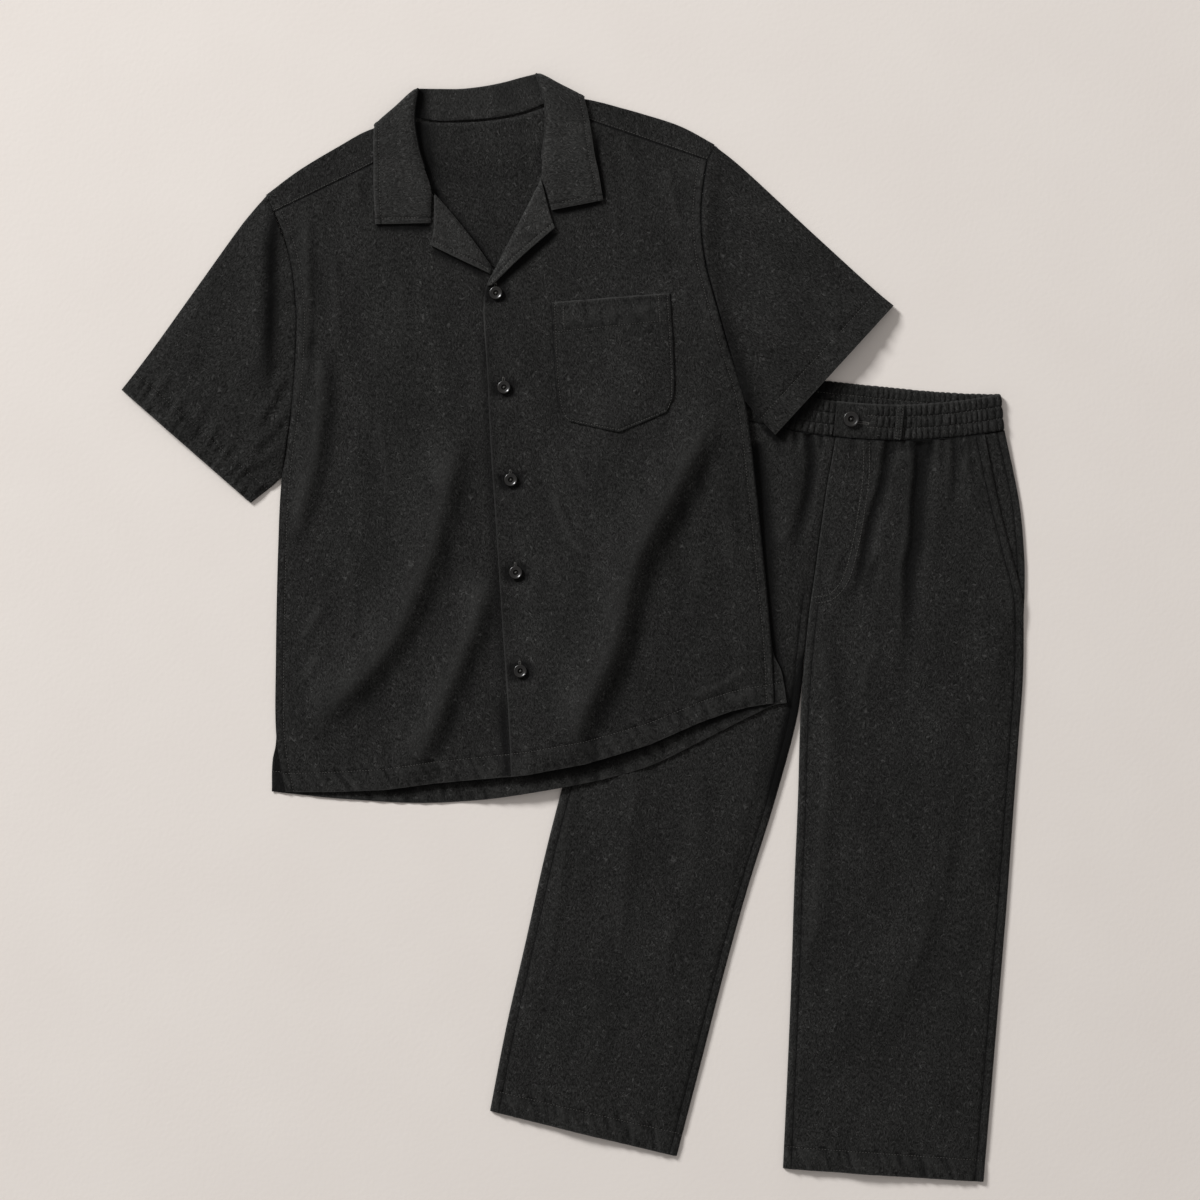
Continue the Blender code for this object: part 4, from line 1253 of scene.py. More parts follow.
@dataclass
class Shirt:
    """The shirt: its body, sleeves, collar, lapels, pocket and buttons."""

    finishes: Finishes
    form: ShirtForm = field(default_factory=ShirtForm)
    threads: Stitching = field(default_factory=Stitching)
    lap: float = 30.0
    yoke_rows: int = 6
    front_hem: tuple[Pair, ...] = (
        (-285, -689), (-228, -694.5), (-179, -697.5), (-127, -696), (-46, -697), (-26, -697), (-4, -695),
        (34, -692), (72, -685), (104, -678.5), (137, -668), (159, -661), (192, -653), (214, -650),
        (239.5, -649),
    )
    back_hem: tuple[Pair, ...] = (
        (-299.5, -686.5), (-270, -693), (-229, -701.5), (-150, -714.5), (-81, -718.5), (-17, -716),
        (48, -710.5), (102, -701), (146, -685.5), (202, -664), (237, -651.5), (252.5, -650),
    )
    # Painted shadows where the back lies low under the fronts' edges and the collar. Each one's height is how
    # dark the painted shade is.
    hollows: tuple[Fold, ...] = (
        Fold(
            ((-72, 40), (-74, 14), (-75, -6), (-74, -27), (-69, -49), (-62, -71), (-52, -91)),
            1.7, 20, 14, (0.02, 0.5),
        ),
        Fold(((-64, -66), (-46, -98), (-28, -126), (-9, -158)), 0.8, 20, 5, (0.1, 0.2)),
        Fold(((-288, -628), (-287, -655), (-285, -694)), 0.85, 16, 1, (0.1, 0.02)),
        Fold(
            ((-284, -689), (-228, -694), (-179, -697), (-120, -695), (-46, -696.5)),
            0.7, 2.2, 20, (0.02, 0.1),
        ),
        Fold(((-190, -698), (-165, -698), (-140, -697), (-120, -696)), 0.9, 6, 20, (0.3, 0.3)),
        Fold(((-46, -697), (-26, -697), (34, -692), (72, -685), (110, -676)), 0.95, 10, 20, (0.15, 0.3)),
        Fold(((72, -685), (104, -678), (137, -668), (159, -661), (240, -648)), 0.8, 3, 20, (0.02, 0.02)),
        Fold(((120, -673), (150, -664), (192, -653), (225, -650)), 0.9, 8, 20, (0.3, 0.2)),
        Fold(((243, -588), (241, -617), (240, -649)), 0.9, 20, 3.5, (0.1, 0.02)),
    )
    # Painted shadows on the fronts, beside the edges that lie over them
    front_hollows: tuple[Fold, ...] = (
        Fold(((-8.5, -179.6), (14.7, -161.8), (37.7, -145), (63, -127.4)), 1.5, 6, 6, (0.1, 0.1)),
        Fold(((57.7, -107.7), (84.5, -106.3), (113.8, -100.8)), 1.3, 5, 5, (0.05, 0.05)),
        Fold(((118.6, -15), (114.1, -57.1), (116, -100)), 0.9, 4, 3.5, (0.3, 0.05)),
        Fold(((-127.2, -102.1), (-97.9, -107.3), (-67.3, -110.5)), 1.1, 4.5, 5, (0.05, 0.05)),
        Fold(((-72.9, -133.4), (-44.8, -149.2), (-14.9, -169.3)), 0.9, 4, 4, (0.1, 0.1)),
        Fold(
            ((-25, -215), (-28, -272), (-33, -350), (-37, -440), (-41, -540), (-46, -620)),
            0.5, 4, 6, (0.1, 0.1),
        ),
        Fold(((-43, -590), (-47, -640), (-49, -697)), 0.9, 6, 6, (0.4, 0.02)),
    )
    armhole_right: tuple = ((-233, -77), (-225, -106), (-220, -139), (-220, -176), (-221, -195))
    armhole_left: tuple = ((229, -70), (223, -92), (216, -128), (215, -164), (217, -190))
    tip_right: Pair = (-239, -58.5)
    tip_left: Pair = (238, -55)
    fold_right: tuple = ((-239, -58.5), (-201, -36), (-156, -15), (-123, -1.8), (-83, 4.5))
    fold_left: tuple = ((79, 6), (102, 7.5), (123, 1.5), (143, -6), (164, -14.2), (204, -32), (238, -55))
    neck: tuple = ((-83, 4.5), (-63, 1), (-14, -4), (31, -3), (61, 3), (79, 6))
    seam_end_right: Pair = (-91, -25)
    seam_end_left: Pair = (76, 0)
    edge_right: tuple = ((-91, -25), (-79, -49), (-52, -95), (-26, -136), (-5, -167), (9, -191))
    edge_left: tuple = ((76, 0), (64, -41), (46, -82), (17, -126), (-12, -171), (-21, -191))
    sides: tuple = (
        ((-221, -195), (-21, -191), (217, -190)),
        ((-233, -272), (-26, -272), (229, -262)),
        ((-254, -357), (-30.5, -350), (242, -328)),
        ((-267, -440), (-34, -440), (244, -420)),
        ((-280.5, -548), (-38, -540), (244, -510)),
        ((-288.5, -628), (-41, -625), (243, -588)),
        ((-285, -689), (-45, -697), (239.5, -649)),
    )
    armhole: Border = Border(joined=True, drop=0.9, sewn=(8.5,), pucker=0.5)
    armhole_in_light: Border = Border(joined=True, drop=0.6, sewn=(8.5,), pucker=0.6, valley=0.5)
    hemmed: Border = Border(sewn=(22.0,), hem=22.0, pucker=0.6)
    shoulder: Border = Border(joined=True, drop=0.8)
    placket: Border = Border(drop=0.3, worn=1.0)

    def right_keys(self) -> tuple[Points, Points]:
        """The right front's two long edges: armhole and side, and neck and underlap."""
        rim, inner = evenly(self.armhole_right, self.yoke_rows), evenly(self.edge_right, self.yoke_rows)
        side = np.array([row[0] for row in self.sides[1:]], float)
        under = np.array([row[1] for row in self.sides[1:]], float) + (self.lap, 0)
        return np.concatenate([rim, side]), np.concatenate([inner, under])

    def left_keys(self) -> tuple[Points, Points]:
        """The left front's two long edges: neck and placket, and armhole and side."""
        rim, inner = evenly(self.armhole_left, self.yoke_rows), evenly(self.edge_left, self.yoke_rows)
        side = np.array([row[2] for row in self.sides[1:]], float)
        edge = np.array([row[1] for row in self.sides[1:]], float)
        return np.concatenate([inner, edge]), np.concatenate([rim, side])

    def hem_bow(self, own: Points, down: Points) -> Points:
        """Draws the foot of a front to the curve of its hem.

        Args:
            own: the panel's grid, in the garment's own frame.
            down: how far down the panel each row lies.

        Returns:
            The grid with its foot moved.
        """
        hem = np.array(self.front_hem, float)
        bowed = own.copy()
        move = np.interp(own[-1, :, 0], hem[:, 0], hem[:, 1]) - own[-1, :, 1]
        bowed[..., 1] += move[None] * ease((down - down[-1] + 120) / 120)[:, None]
        return bowed

    def make_fronts(self) -> None:
        """The two fronts."""
        left, right = self.right_keys()
        borders = around(self.shoulder, self.hemmed, self.armhole_in_light, FREE)
        panel = Panel(SHIRT, left, right, borders, self.form.front, bend=self.hem_bow, seed=3)
        panel.darken(self.front_hollows)
        Cut("shirt_front_right", (0.30, 0.72), 0.19).make(panel, self.threads, self.finishes.linen)
        left, right = self.left_keys()
        borders = around(self.shoulder, self.hemmed, self.placket, self.armhole)
        panel = Panel(SHIRT, left, right, borders, self.form.lap, bend=self.hem_bow, seed=4)
        panel.darken(self.front_hollows)
        # Painted shadow round each button, larger below it
        under = [((x, y + 9.5), (x + 0.5, y - 1), (x, y - 11)) for x, y in SHIRT_BUTTONS]
        panel.darken([Fold(path, 4, 9.2, 8.8, (0.15, 0.15)) for path in under], 0.75)
        Cut("shirt_front_left", (0.31, 0.71), 0.19).make(panel, self.threads, self.finishes.linen)

    def face(self, own: Points) -> Points:
        """Points on the left front's face."""
        return SHIRT.at(own, self.form.lap(own) + SHELL / 2)

    def make_buttonholes(self) -> None:
        """One upright buttonhole under each button, with its upper end in sight."""
        for x, y in SHIRT_BUTTONS:
            self.threads.buttonhole(self.face, (x, y + 2.2), (0.05, 1), 15)

    def back_keys(self) -> tuple[Points, Points]:
        """The back's two sides, from the shoulder tips to the tail that flares out past the fronts."""
        right = np.concatenate([[self.tip_right], evenly(self.armhole_right, self.yoke_rows)])
        left = np.concatenate([[self.tip_left], evenly(self.armhole_left, self.yoke_rows)])
        side_right = [*(row[0] for row in self.sides[1:-1]), (-295.5, -655), self.back_hem[0]]
        side_left = [*(row[2] for row in self.sides[1:-1]), (250.5, -617), self.back_hem[-1]]
        return np.concatenate([right, side_right]), np.concatenate([left, side_left])

    def shape_back(self, own: Points, down: Points) -> Points:
        """Bends the top of the back to the shoulders and neck, and its tail to a curve.

        Args:
            own: the panel's grid, in the garment's own frame.
            down: how far down the panel each row lies.

        Returns:
            The bent grid.
        """
        shaped = own.copy()
        neck = through(self.neck, 12)[1:-1]
        top = np.concatenate([through(self.fold_right, 12), neck, through(self.fold_left, 12)])
        line = np.interp(own[0, :, 0], top[:, 0], top[:, 1]) - own[0, :, 1]
        shaped[..., 1] += line[None] * ease(1 - down / 150)[:, None]
        tail = through(self.back_hem, 8)
        bow = np.interp(own[-1, :, 0], tail[:, 0], tail[:, 1]) - own[-1, :, 1]
        shaped[..., 1] += bow[None] * ease((down - down[-1] + 260) / 260)[:, None]
        return shaped

    def make_back(self) -> None:
        """The back, and the strips of it that come over the shoulders to the forward seams."""
        left, right = self.back_keys()
        borders = around(PLAIN, self.hemmed, FREE, FREE)
        panel = Panel(SHIRT, left, right, borders, self.back_height, (5, 5), self.shape_back, 5)
        panel.darken(self.hollows)
        weld = Weld()
        panel.into(weld)
        self.threads.sew(panel.row(Edge.BOTTOM, self.hemmed.sewn[0]))
        top_own, top = panel.own[0], panel.points[0]
        for first, last, seam in (
            (self.fold_right[0][0], self.fold_right[-1][0], (self.armhole_right[0], self.seam_end_right)),
            (self.fold_left[0][0], self.fold_left[-1][0], (self.seam_end_left, self.armhole_left[0])),
        ):
            columns = (top_own[:, 0] >= first - 0.01) & (top_own[:, 0] <= last + 0.01)
            self.shoulder_strip(weld, top_own[columns], top[columns], seam)
        Cut("shirt_back", (0.58, 0.80), 0.40).build(weld, self.finishes.linen)

    def back_height(self, own: Points) -> Points:
        """The back's height, with low waves where the neck leaves it open."""
        return self.form.height(own, 0) + 0.35 * Drape(21, 0.5, 1.2).at(own)

    def shoulder_strip(self, weld: Weld, fold_own: Points, fold: Points, seam: tuple[Pair, Pair]) -> None:
        """Adds the strip from a shoulder fold to the forward seam, over the top.

        Args:
            weld: the piece that it belongs to.
            fold_own: the fold's points in the shirt's frame.
            fold: the same points in the shared frame.
            seam: the ends of the forward seam.
        """
        outward = sideways(fold_own)
        share = (run_of(fold_own) / run_of(fold_own)[-1])[:, None]
        end = np.array(seam[0]) * (1 - share) + np.array(seam[1]) * share + outward * SEAM
        radius = LAYER / 2
        low = fold[:, 2]
        rows, owns = [], []
        for angle in np.linspace(0, math.pi, 7):
            own = fold_own + outward * radius * math.sin(angle)
            rows.append(SHIRT.at(own, low + radius * (1 - math.cos(angle))))
            owns.append(own)
        shades = [np.zeros(len(fold))] * 7
        length = np.linalg.norm(end - fold_own, axis=1)[:, None]
        for t in (0.12, 0.3, 0.5, 0.62, 0.7, 0.74, 0.78, 0.84, 0.9, 0.95, 0.98, 1.0):
            own = fold_own * (1 - t) + end * t
            target = self.form.height(own, 1)
            away = (1 - t) * length[:, 0]
            z = (low + LAYER) * (1 - t) + target * t - 0.5 * bump(away / 1.0)
            rows.append(SHIRT.at(own, z))
            owns.append(own)
            # painted shade in the valley of the forward seam
            shades.append(0.9 * bump(away / 1.1))
        rows, owns, shades = np.array(rows), np.array(owns), np.array(shades)
        weld.add(rows, owns, shades, np.zeros_like(shades))
        sewn = end + (fold_own - end) * (1.9 / length)
        self.threads.sew(SHIRT.at(sewn, self.form.height(sewn, 1)), above=0.4)


class Ply(Enum):
    """The two layers of a flattened sleeve, with the distance between the rows of each one's grid."""

    OVER = 3.4
    UNDER = 9.0


@dataclass
class Sleeve:
    """A short sleeve: a tube pressed flat, folded over the arm and seamed under it."""

    shirt: Shirt
    side: Side
    overarm: tuple
    underarm: tuple
    folds: tuple[Fold, ...]
    hollows: tuple[Fold, ...]  # painted shadows where it lies low beside the body; each one's height is how dark the painted shade is
    joint: Border
    seam: float = 0.5
    tip_ease: float = 0.2
    underarm_ease: float = 0.4
    hollow: float = 0.8
    puff: float = 2.2
    hem: float = 23.0
    edge_marks: tuple[float, ...] = (0.0, 0.25, 0.7, 1.4, 2.3, 3.4, 5.0, 7.5)

    def armhole(self) -> Points:
        """The line that the sleeve starts from, just clear of the body."""
        shirt = self.shirt
        right = self.side is Side.RIGHT
        rim = evenly(shirt.armhole_right if right else shirt.armhole_left, 12)
        column = 0 if right else 2
        below = through([row[column] for row in shirt.sides[:3]], 6)[1:]
        line = np.concatenate([[shirt.tip_right if right else shirt.tip_left], rim, below])
        outward = sideways(line) * self.side.value
        along = run_of(line) / run_of(line)[-1]
        away = self.seam + (self.tip_ease - self.seam) * ease(1 - along / 0.1)
        away = away + (self.underarm_ease - self.seam) * ease((along - 0.88) / 0.12)
        return line + outward * away[:, None]

    def make(self) -> None:
        """Builds the sleeve, with its top and bottom layers as one ring."""
        start = self.armhole()
        total = run_of(start)[-1]
        over, under = np.array(self.overarm[-1], float), np.array(self.underarm[-1], float)
        cuff = Border(sewn=(self.hem,), hem=self.hem, pucker=0.85)
        weld = Weld()
        layers = {}
        for ply in Ply:
            at = spread(np.array([total]), ply.value, self.edge_marks, self.edge_marks)[0]
            share = (at / total)[:, None]
            begin, end = sample(start, at), over * (1 - share) + under * share
            length = np.linalg.norm(end - begin, axis=1)
            # Both layers have the same stations along the sleeve, so that their edges meet
            along = spread(length, 3.6, self.joint.marks(), cuff.marks())
            t = (along / length[:, None])[..., None]
            own = begin[:, None] * (1 - t) + end[:, None] * t
            self.bow(own, t[..., 0], at / total, start)
            layers[ply] = (own, along, length[:, None] - along, at)
        for ply, (own, along, left, at) in layers.items():
            z, crease, worn = self.surface(ply, own, along, left, at, total, cuff)
            points = SHIRT.at(own, z)
            weld.add(points, self.grain(own), crease, worn)
            if ply is Ply.OVER:
                row = int(np.argmin(np.abs(np.array(cuff.marks()) - self.hem)))
                self.shirt.threads.sew(points[:, -1 - row])
        node = f"shirt_sleeve_{self.side.name.lower()}"
        Cut(node, (0.44, 0.23), 0.066).build(weld, self.shirt.finishes.linen)

    def bow(self, own: Points, t: Points, share: Points, start: Points) -> None:
        """Moves the points, in place, so that the sleeve's two long edges follow their curves.

        Args:
            own: the points.
            t: how far along the sleeve each one lies, from 0 to 1.
            share: how far round the armhole each row starts, from 0 to 1.
            start: the armhole's line.
        """
        for line, corner, weight in ((self.overarm, start[0], 1 - share), (self.underarm, start[-1], share)):
            curve = through([tuple(corner), *line[1:]], 12)
            at = run_of(curve) / run_of(curve)[-1]
            move = curve - (curve[0] * (1 - at)[:, None] + curve[-1] * at[:, None])
            away = np.stack([np.interp(t, at, move[:, k]) for k in (0, 1)], -1)
            own += away * weight[:, None, None]

    def grain(self, own: Points) -> Points:
        """The cloth's own coordinates, with the warp along the sleeve."""
        return Place(0, 0, 42 * self.side.value).back(own)

    def surface(
        self, ply: Ply, own: Points, along: Points, left: Points, at: Points, total: float, cuff: Border
    ) -> tuple[Points, Points, Points]:
        """Heights and shades of one layer.

        Args:
            ply: which layer it is.
            own: its points in the shirt's frame.
            along: how far each lies from the armhole.
            left: how far each lies from the cuff.
            at: how far each row lies from the fold over the arm, at the armhole.
            total: the length of the armhole.
            cuff: the border at the cuff.

        Returns:
            The heights, how dark each point's painted shade is, and how pale wear and painted highlight make
            it.
        """
        form = self.shirt.form
        u = (at / total)[:, None]
        low = CLOTH / 2 + form.over_trousers(SHIRT.out(own), 0)
        round_off = np.sin(math.pi * np.clip(u, 0, 1))
        spring = self.puff * round_off**0.7 + lift(own, self.folds) * round_off**0.4
        high = CLOTH / 2 + CLOTH + self.hollow + form.over_trousers(SHIRT.out(own), 1) + spring
        middle = (low + high) / 2
        edge = np.minimum(at, total - at)[:, None]
        turn = np.sqrt(np.clip(1 - (1 - np.clip(edge / 3.4, 0, 1)) ** 2, 0, 1))
        if ply is Ply.UNDER:
            return middle + (low - middle) * turn, np.zeros(low.shape), np.zeros(low.shape)
        waves = Drape(31 + self.side.value, 0.8, 1.1).at(self.grain(own)) * ease(edge / 25)
        z = middle + (high + waves - middle) * turn
        down = np.broadcast_to(at[:, None], along.shape)
        rise, crease, worn = self.joint.relief(along, down, 41)
        # painted shadow beside the body
        crease = np.maximum(crease, np.minimum(lift(own, self.hollows), 0.95))
        more, darker, paler = cuff.relief(left, down, 43)
        return z + (rise + more) * turn, np.maximum(crease, darker), np.maximum(worn, paler)


@dataclass
class CollarPiece:
    """The collar, doubled, folded along its roll and turned over at each shoulder."""

    shirt: Shirt
    middle: float = 4.9
    fall_radius: float = 3.9
    stand_radius: float = 1.4
    inset: float = 2.5
    stitched: float = 6.0
    thickness: float = 1.9
    # Each station: the roll, the free edge, the neck seam, and how far it lies below the shoulder's height
    right: tuple = (
        ((-68.5, -106), (-127, -101), (-68.5, -106), 2.2),
        ((-66.5, -88), (-126, -83), (-66.5, -88), 2.2),
        ((-65, -69), (-125, -64), (-65, -69), 1.8),
        ((-70, -46), (-123, -45), (-71, -45), 1.2),
        ((-74, -24), (-121.5, -30), (-88, -17), 0.6),
        ((-75, 6), (-120, -14), (-86, -6), 0),
        ((-68, 36), (-117, 2), (-82, 10), 0),
    )
    back: tuple = (
        ((-68, 36), (-117, 2), (-82, 10), 0),
        ((-44, 33), (-72, -9), (-50, 1), 0),
        ((-22, 30.8), (-36, -13), (-24, -1), 0),
        ((2, 31), (0, -14), (1, -2), 0),
        ((24, 33), (34, -12), (26, -1), 0),
        ((42, 36), (70, -4), (50, 3), 0),
        ((59, 38.5), (106, 8.8), (76, 12), 0),
    )
    left: tuple = (
        ((59, 38.5), (106, 8.8), (76, 12), 0),
        ((65, 10), (109, -12), (73.5, 0), 0),
        ((63, -19), (110, -30), (70, -16), 0.2),
        ((57, -46), (111, -52), (58, -45), 0.2),
        ((53.5, -69), (113, -70), (53.5, -69), 0.2),
        ((57, -88), (114, -86), (57, -88), 0.2),
        ((60, -106), (115, -101), (60, -106), 0.2),
    )
    turning: int = 14
    turn_room: float = 16.0

    def stations(self) -> tuple[Points, Points]:
        """Every station along the collar: its plan, drop, turn and facing, and the distance along it."""

        def flat(rows: tuple) -> Points:
            """Rows of stations as plain numbers."""
            return np.array([[*row[0], *row[1], *row[2], row[3]] for row in rows], float)

        blocks = []
        for rows, turn in ((self.right, 0.0), (self.back, 180.0), (self.left, 0.0)):
            dense = through(flat(rows), 10)
            blocks.append(np.concatenate([dense, np.full((len(dense), 1), turn)], 1))
        right, back, left = blocks
        folds = []
        for at, (first, last) in ((right[-1], (0, 180)), (left[0], (180, 0))):
            block = np.repeat(at[None], self.turning, 0)
            block[:, -1] = np.linspace(first, last, self.turning)
            folds.append(block[1:-1])
        rows = np.concatenate([right, folds[0], back, folds[1], left])
        centre = (rows[:, 0:2] + rows[:, 2:4]) / 2
        steps = np.linalg.norm(np.diff(centre, axis=0), axis=1)
        steps += np.abs(np.diff(rows[:, -1])) / 180 * self.turn_room
        return rows, np.concatenate([[0], np.cumsum(steps)])

    def make(self) -> None:
        """Builds the collar as the fall, the roll and the stand, joined."""
        keys, run = self.stations()
        ends = Border(sewn=(self.stitched,), drop=0.6).marks()
        at = spread(run[-1:], 2.6, ends, ends)[0]
        rows = np.stack([np.interp(at, run, keys[:, k]) for k in range(keys.shape[1])], -1)
        roll, fall = rows[:, 0:2], rows[:, 2:4]
        drop, turn = rows[:, 6], np.radians(rows[:, 7])
        facing = self.facing(rows)
        width = np.linalg.norm(roll - fall, axis=1)
        across = spread(width, 3.2, ends, (0.0, 0.8, 1.8, 3.2, 5.2))
        t = across / width[:, None]
        plan = fall[:, None] * (1 - t[..., None]) + roll[:, None] * t[..., None]
        from_end = np.minimum(at, run[-1] - at)[:, None]
        down = np.broadcast_to(at[:, None], across.shape)
        border = Border(sewn=(self.stitched,), drop=0.6, worn=0.9)
        rise, crease, worn = border.relief(across, down, 51)
        more, darker, paler = border.relief(np.broadcast_to(from_end, across.shape), across, 53)
        spring = 0.9 * bump((t - 0.82) / 0.2) - 1.2 * bump((1 - t) * width[:, None] / 2.0)
        wave = Waves(52, 30, 24, 0.45).at(np.stack([across, down], -1))
        wave = wave * np.sin(math.pi * np.clip(t, 0, 1)) ** 0.5
        radius = self.fall_radius + rise + more + spring + wave
        weld = Weld()
        points = self.placed(plan, radius, turn, drop, facing)
        grain = np.stack([down, across], -1)
        weld.add(points, grain, np.maximum(crease, darker), np.maximum(worn, paler))
        self.add_stand(weld, rows, at, facing, points[:, -1], radius[:, -1])
        line = int(np.argmin(np.abs(np.array(ends) - self.stitched)))
        for side in (points[:, line], points[line], points[-1 - line]):
            self.shirt.threads.sew(side[line:-line], above=self.thickness / 2)
        cut = Cut("shirt_collar", (0.50, 0.105), 0.042, Held.FOLDED)
        cut.build(weld, self.shirt.finishes.collar_linen, self.thickness)

    def facing(self, rows: Points) -> Points:
        """Which way the fold at a shoulder faces, for stations that are turning.

        Args:
            rows: the stations.

        Returns:
            A direction for each station that turns, and zeros for the others.
        """
        out = np.zeros((len(rows), 2))
        turning = (rows[:, 7] > 0.5) & (rows[:, 7] < 179.5)
        for k in np.flatnonzero(turning):
            run = rows[k, 0:2] - rows[k, 2:4]
            run = run if rows[k, 0] < 0 else -run
            out[k] = np.array([-run[1], run[0]]) / np.linalg.norm(run)
        return out

    def placed(self, plan: Points, radius: Points, turn: Points, drop: Points, facing: Points) -> Points:
        """Points of the shared frame, from a plan and a distance from the axis that the collar turns over.

        Args:
            plan: where each point lies before it turns, in the shirt's frame.
            radius: how far each lies from the axis.
            turn: how far each station has turned over.
            drop: how far each station lies below the shoulder's height.
            facing: which way each station's fold faces.

        Returns:
            The points.
        """
        shape = [len(turn)] + [1] * (plan.ndim - 2)
        turn, drop = turn.reshape(shape), drop.reshape(shape)
        facing = facing.reshape(*shape, 2)
        tucked = plan - facing * self.inset * np.sin(turn)[..., None]
        turned = tucked + facing * (radius * np.sin(turn))[..., None]
        return SHIRT.at(turned, self.middle + radius * np.cos(turn) - drop)

    def add_stand(
        self, weld: Weld, rows: Points, at: Points, facing: Points, edge: Points, reach: Points
    ) -> None:
        """Adds the roll and the stand, from the fall's inner edge to the neck seam.

        Args:
            weld: the piece that they belong to.
            rows: the stations.
            at: how far along the collar each one is.
            facing: which way each one's fold faces.
            edge: the fall's inner edge, in the shared frame.
            reach: how far that edge lies from the axis.
        """
        roll, fall, seam = rows[:, 0:2], rows[:, 2:4], rows[:, 4:6]
        depth = np.linalg.norm(roll - seam, axis=1)
        here = depth > 0.6
        index = np.flatnonzero(here)
        used = slice(index[0], index[-1] + 1)
        roll, fall, seam, edge, reach = roll[used], fall[used], seam[used], edge[used], reach[used]
        drop, turn = rows[used, 6], np.radians(rows[used, 7])
        depth, facing = depth[used], facing[used]
        outward = roll - (fall + seam) / 2
        outward /= np.linalg.norm(outward, axis=1)[:, None]
        half = (reach - self.stand_radius) / 2
        columns, runs = [edge], [np.zeros(len(edge))]
        for angle in np.linspace(0, math.pi, 8)[1:]:
            plan = roll + outward * (half * math.sin(angle))[:, None]
            columns.append(self.placed(plan, reach - half * (1 - math.cos(angle)), turn, drop, facing))
            runs.append(half * angle)
        for t in (0.08, 0.2, 0.35, 0.5, 0.62, 0.74, 0.85, 0.93, 0.97, 1.0):
            plan = roll * (1 - t) + seam * t
            groove = 0.2 * bump((t - 0.62) * depth / 1.0) + 0.45 * bump((1 - t) * depth / 1.2)
            sag = 0.5 * math.sin(math.pi * t)
            columns.append(self.placed(plan, self.stand_radius + sag + groove, turn, drop, facing))
            runs.append(half * math.pi + depth * t)
        points, runs = np.stack(columns, 1), np.stack(runs, 1)
        away = depth[:, None] + (half * math.pi)[:, None] - runs
        # Painted shade: a little over the whole stand, more along the neck seam, and the painted shadow of
        # the roll
        shaded = lift(SHIRT.back(points[..., :2]), self.shirt.hollows[:1])
        crease = np.clip(np.maximum(0.8 * bump(away / 1.0), shaded), 0.12, 0.95)
        grain = np.stack([np.broadcast_to(at[used][:, None], runs.shape), 200 + runs], -1)
        weld.add(points, grain, crease, np.zeros_like(crease))


@dataclass
class LapelPiece:
    """A lapel: the front and its facing folded out along the roll, lying on the front."""

    shirt: Shirt
    side: Side
    roll: tuple
    gorge: tuple
    free: tuple
    stand_off: float
    stitched: float = 5.5
    thickness: float = 1.7

    def make(self) -> None:
        """Builds the lapel, with its roll turned down to the front's edge."""
        form = self.shirt.form
        height = form.lap if self.side is Side.LEFT else form.front
        edge = Border(sewn=(self.stitched,), drop=0.5, worn=0.9)
        roll, free = evenly(through(self.roll, 8), 40), evenly(through(self.free, 8), 40)
        # The first row follows the gorge, and the rows below it straighten out
        bend = self.bender(through(self.gorge, 8))

        def surface(own: Points) -> Points:
            """The lapel's height over the front.

            Args:
                own: the lapel's grid.

            Returns:
                The heights.
            """
            lifted = np.linspace(0, 1, own.shape[1])[None] ** 2
            down = np.linspace(0, 1, own.shape[0])[:, None]
            stand = self.stand_off * lifted * np.sin(math.pi * (0.18 + 0.7 * down)) ** 0.8
            return height(own) + LAYER + 0.9 + stand

        top, bottom = Border(drop=0.4, worn=0.5), Border(drop=0.8, worn=0.3)
        borders = around(top, bottom, Border(drop=0, worn=0.2), edge)
        panel = Panel(SHIRT, roll, free, borders, surface, step=(2.6, 2.8), bend=bend, seed=61)
        from_roll = np.linalg.norm(panel.own - panel.own[:, :1], axis=-1)
        panel.points[..., 2] -= 2.3 * bump(from_roll / 2.2)
        area = 0.0028 if self.side is Side.LEFT else 0.0024
        cut = Cut(f"shirt_facing_{self.side.name.lower()}", (0.06, 0.10), area, Held.FOLDED)
        cut.make(panel, self.shirt.threads, self.shirt.finishes.collar_linen, self.thickness)

    def bender(self, gorge: Points) -> Callable[[Points, Points], Points]:
        """Gives the move that bends the first rows to the gorge.

        Args:
            gorge: the line of the seam between lapel and collar.

        Returns:
            The move.
        """

        def bend(own: Points, down: Points) -> Points:
            """Moves the rows near the top.

            Args:
                own: the panel's grid, in the garment's own frame.
                down: how far down the panel each row lies.

            Returns:
                The bent grid.
            """
            share = np.linalg.norm(own[0] - own[0, 0], axis=1)
            share = share / share[-1]
            run = run_of(gorge)
            move = sample(gorge, share * run[-1]) - own[0]
            return own + move[None] * ease(1 - down / 30)[:, None, None]

        return bend


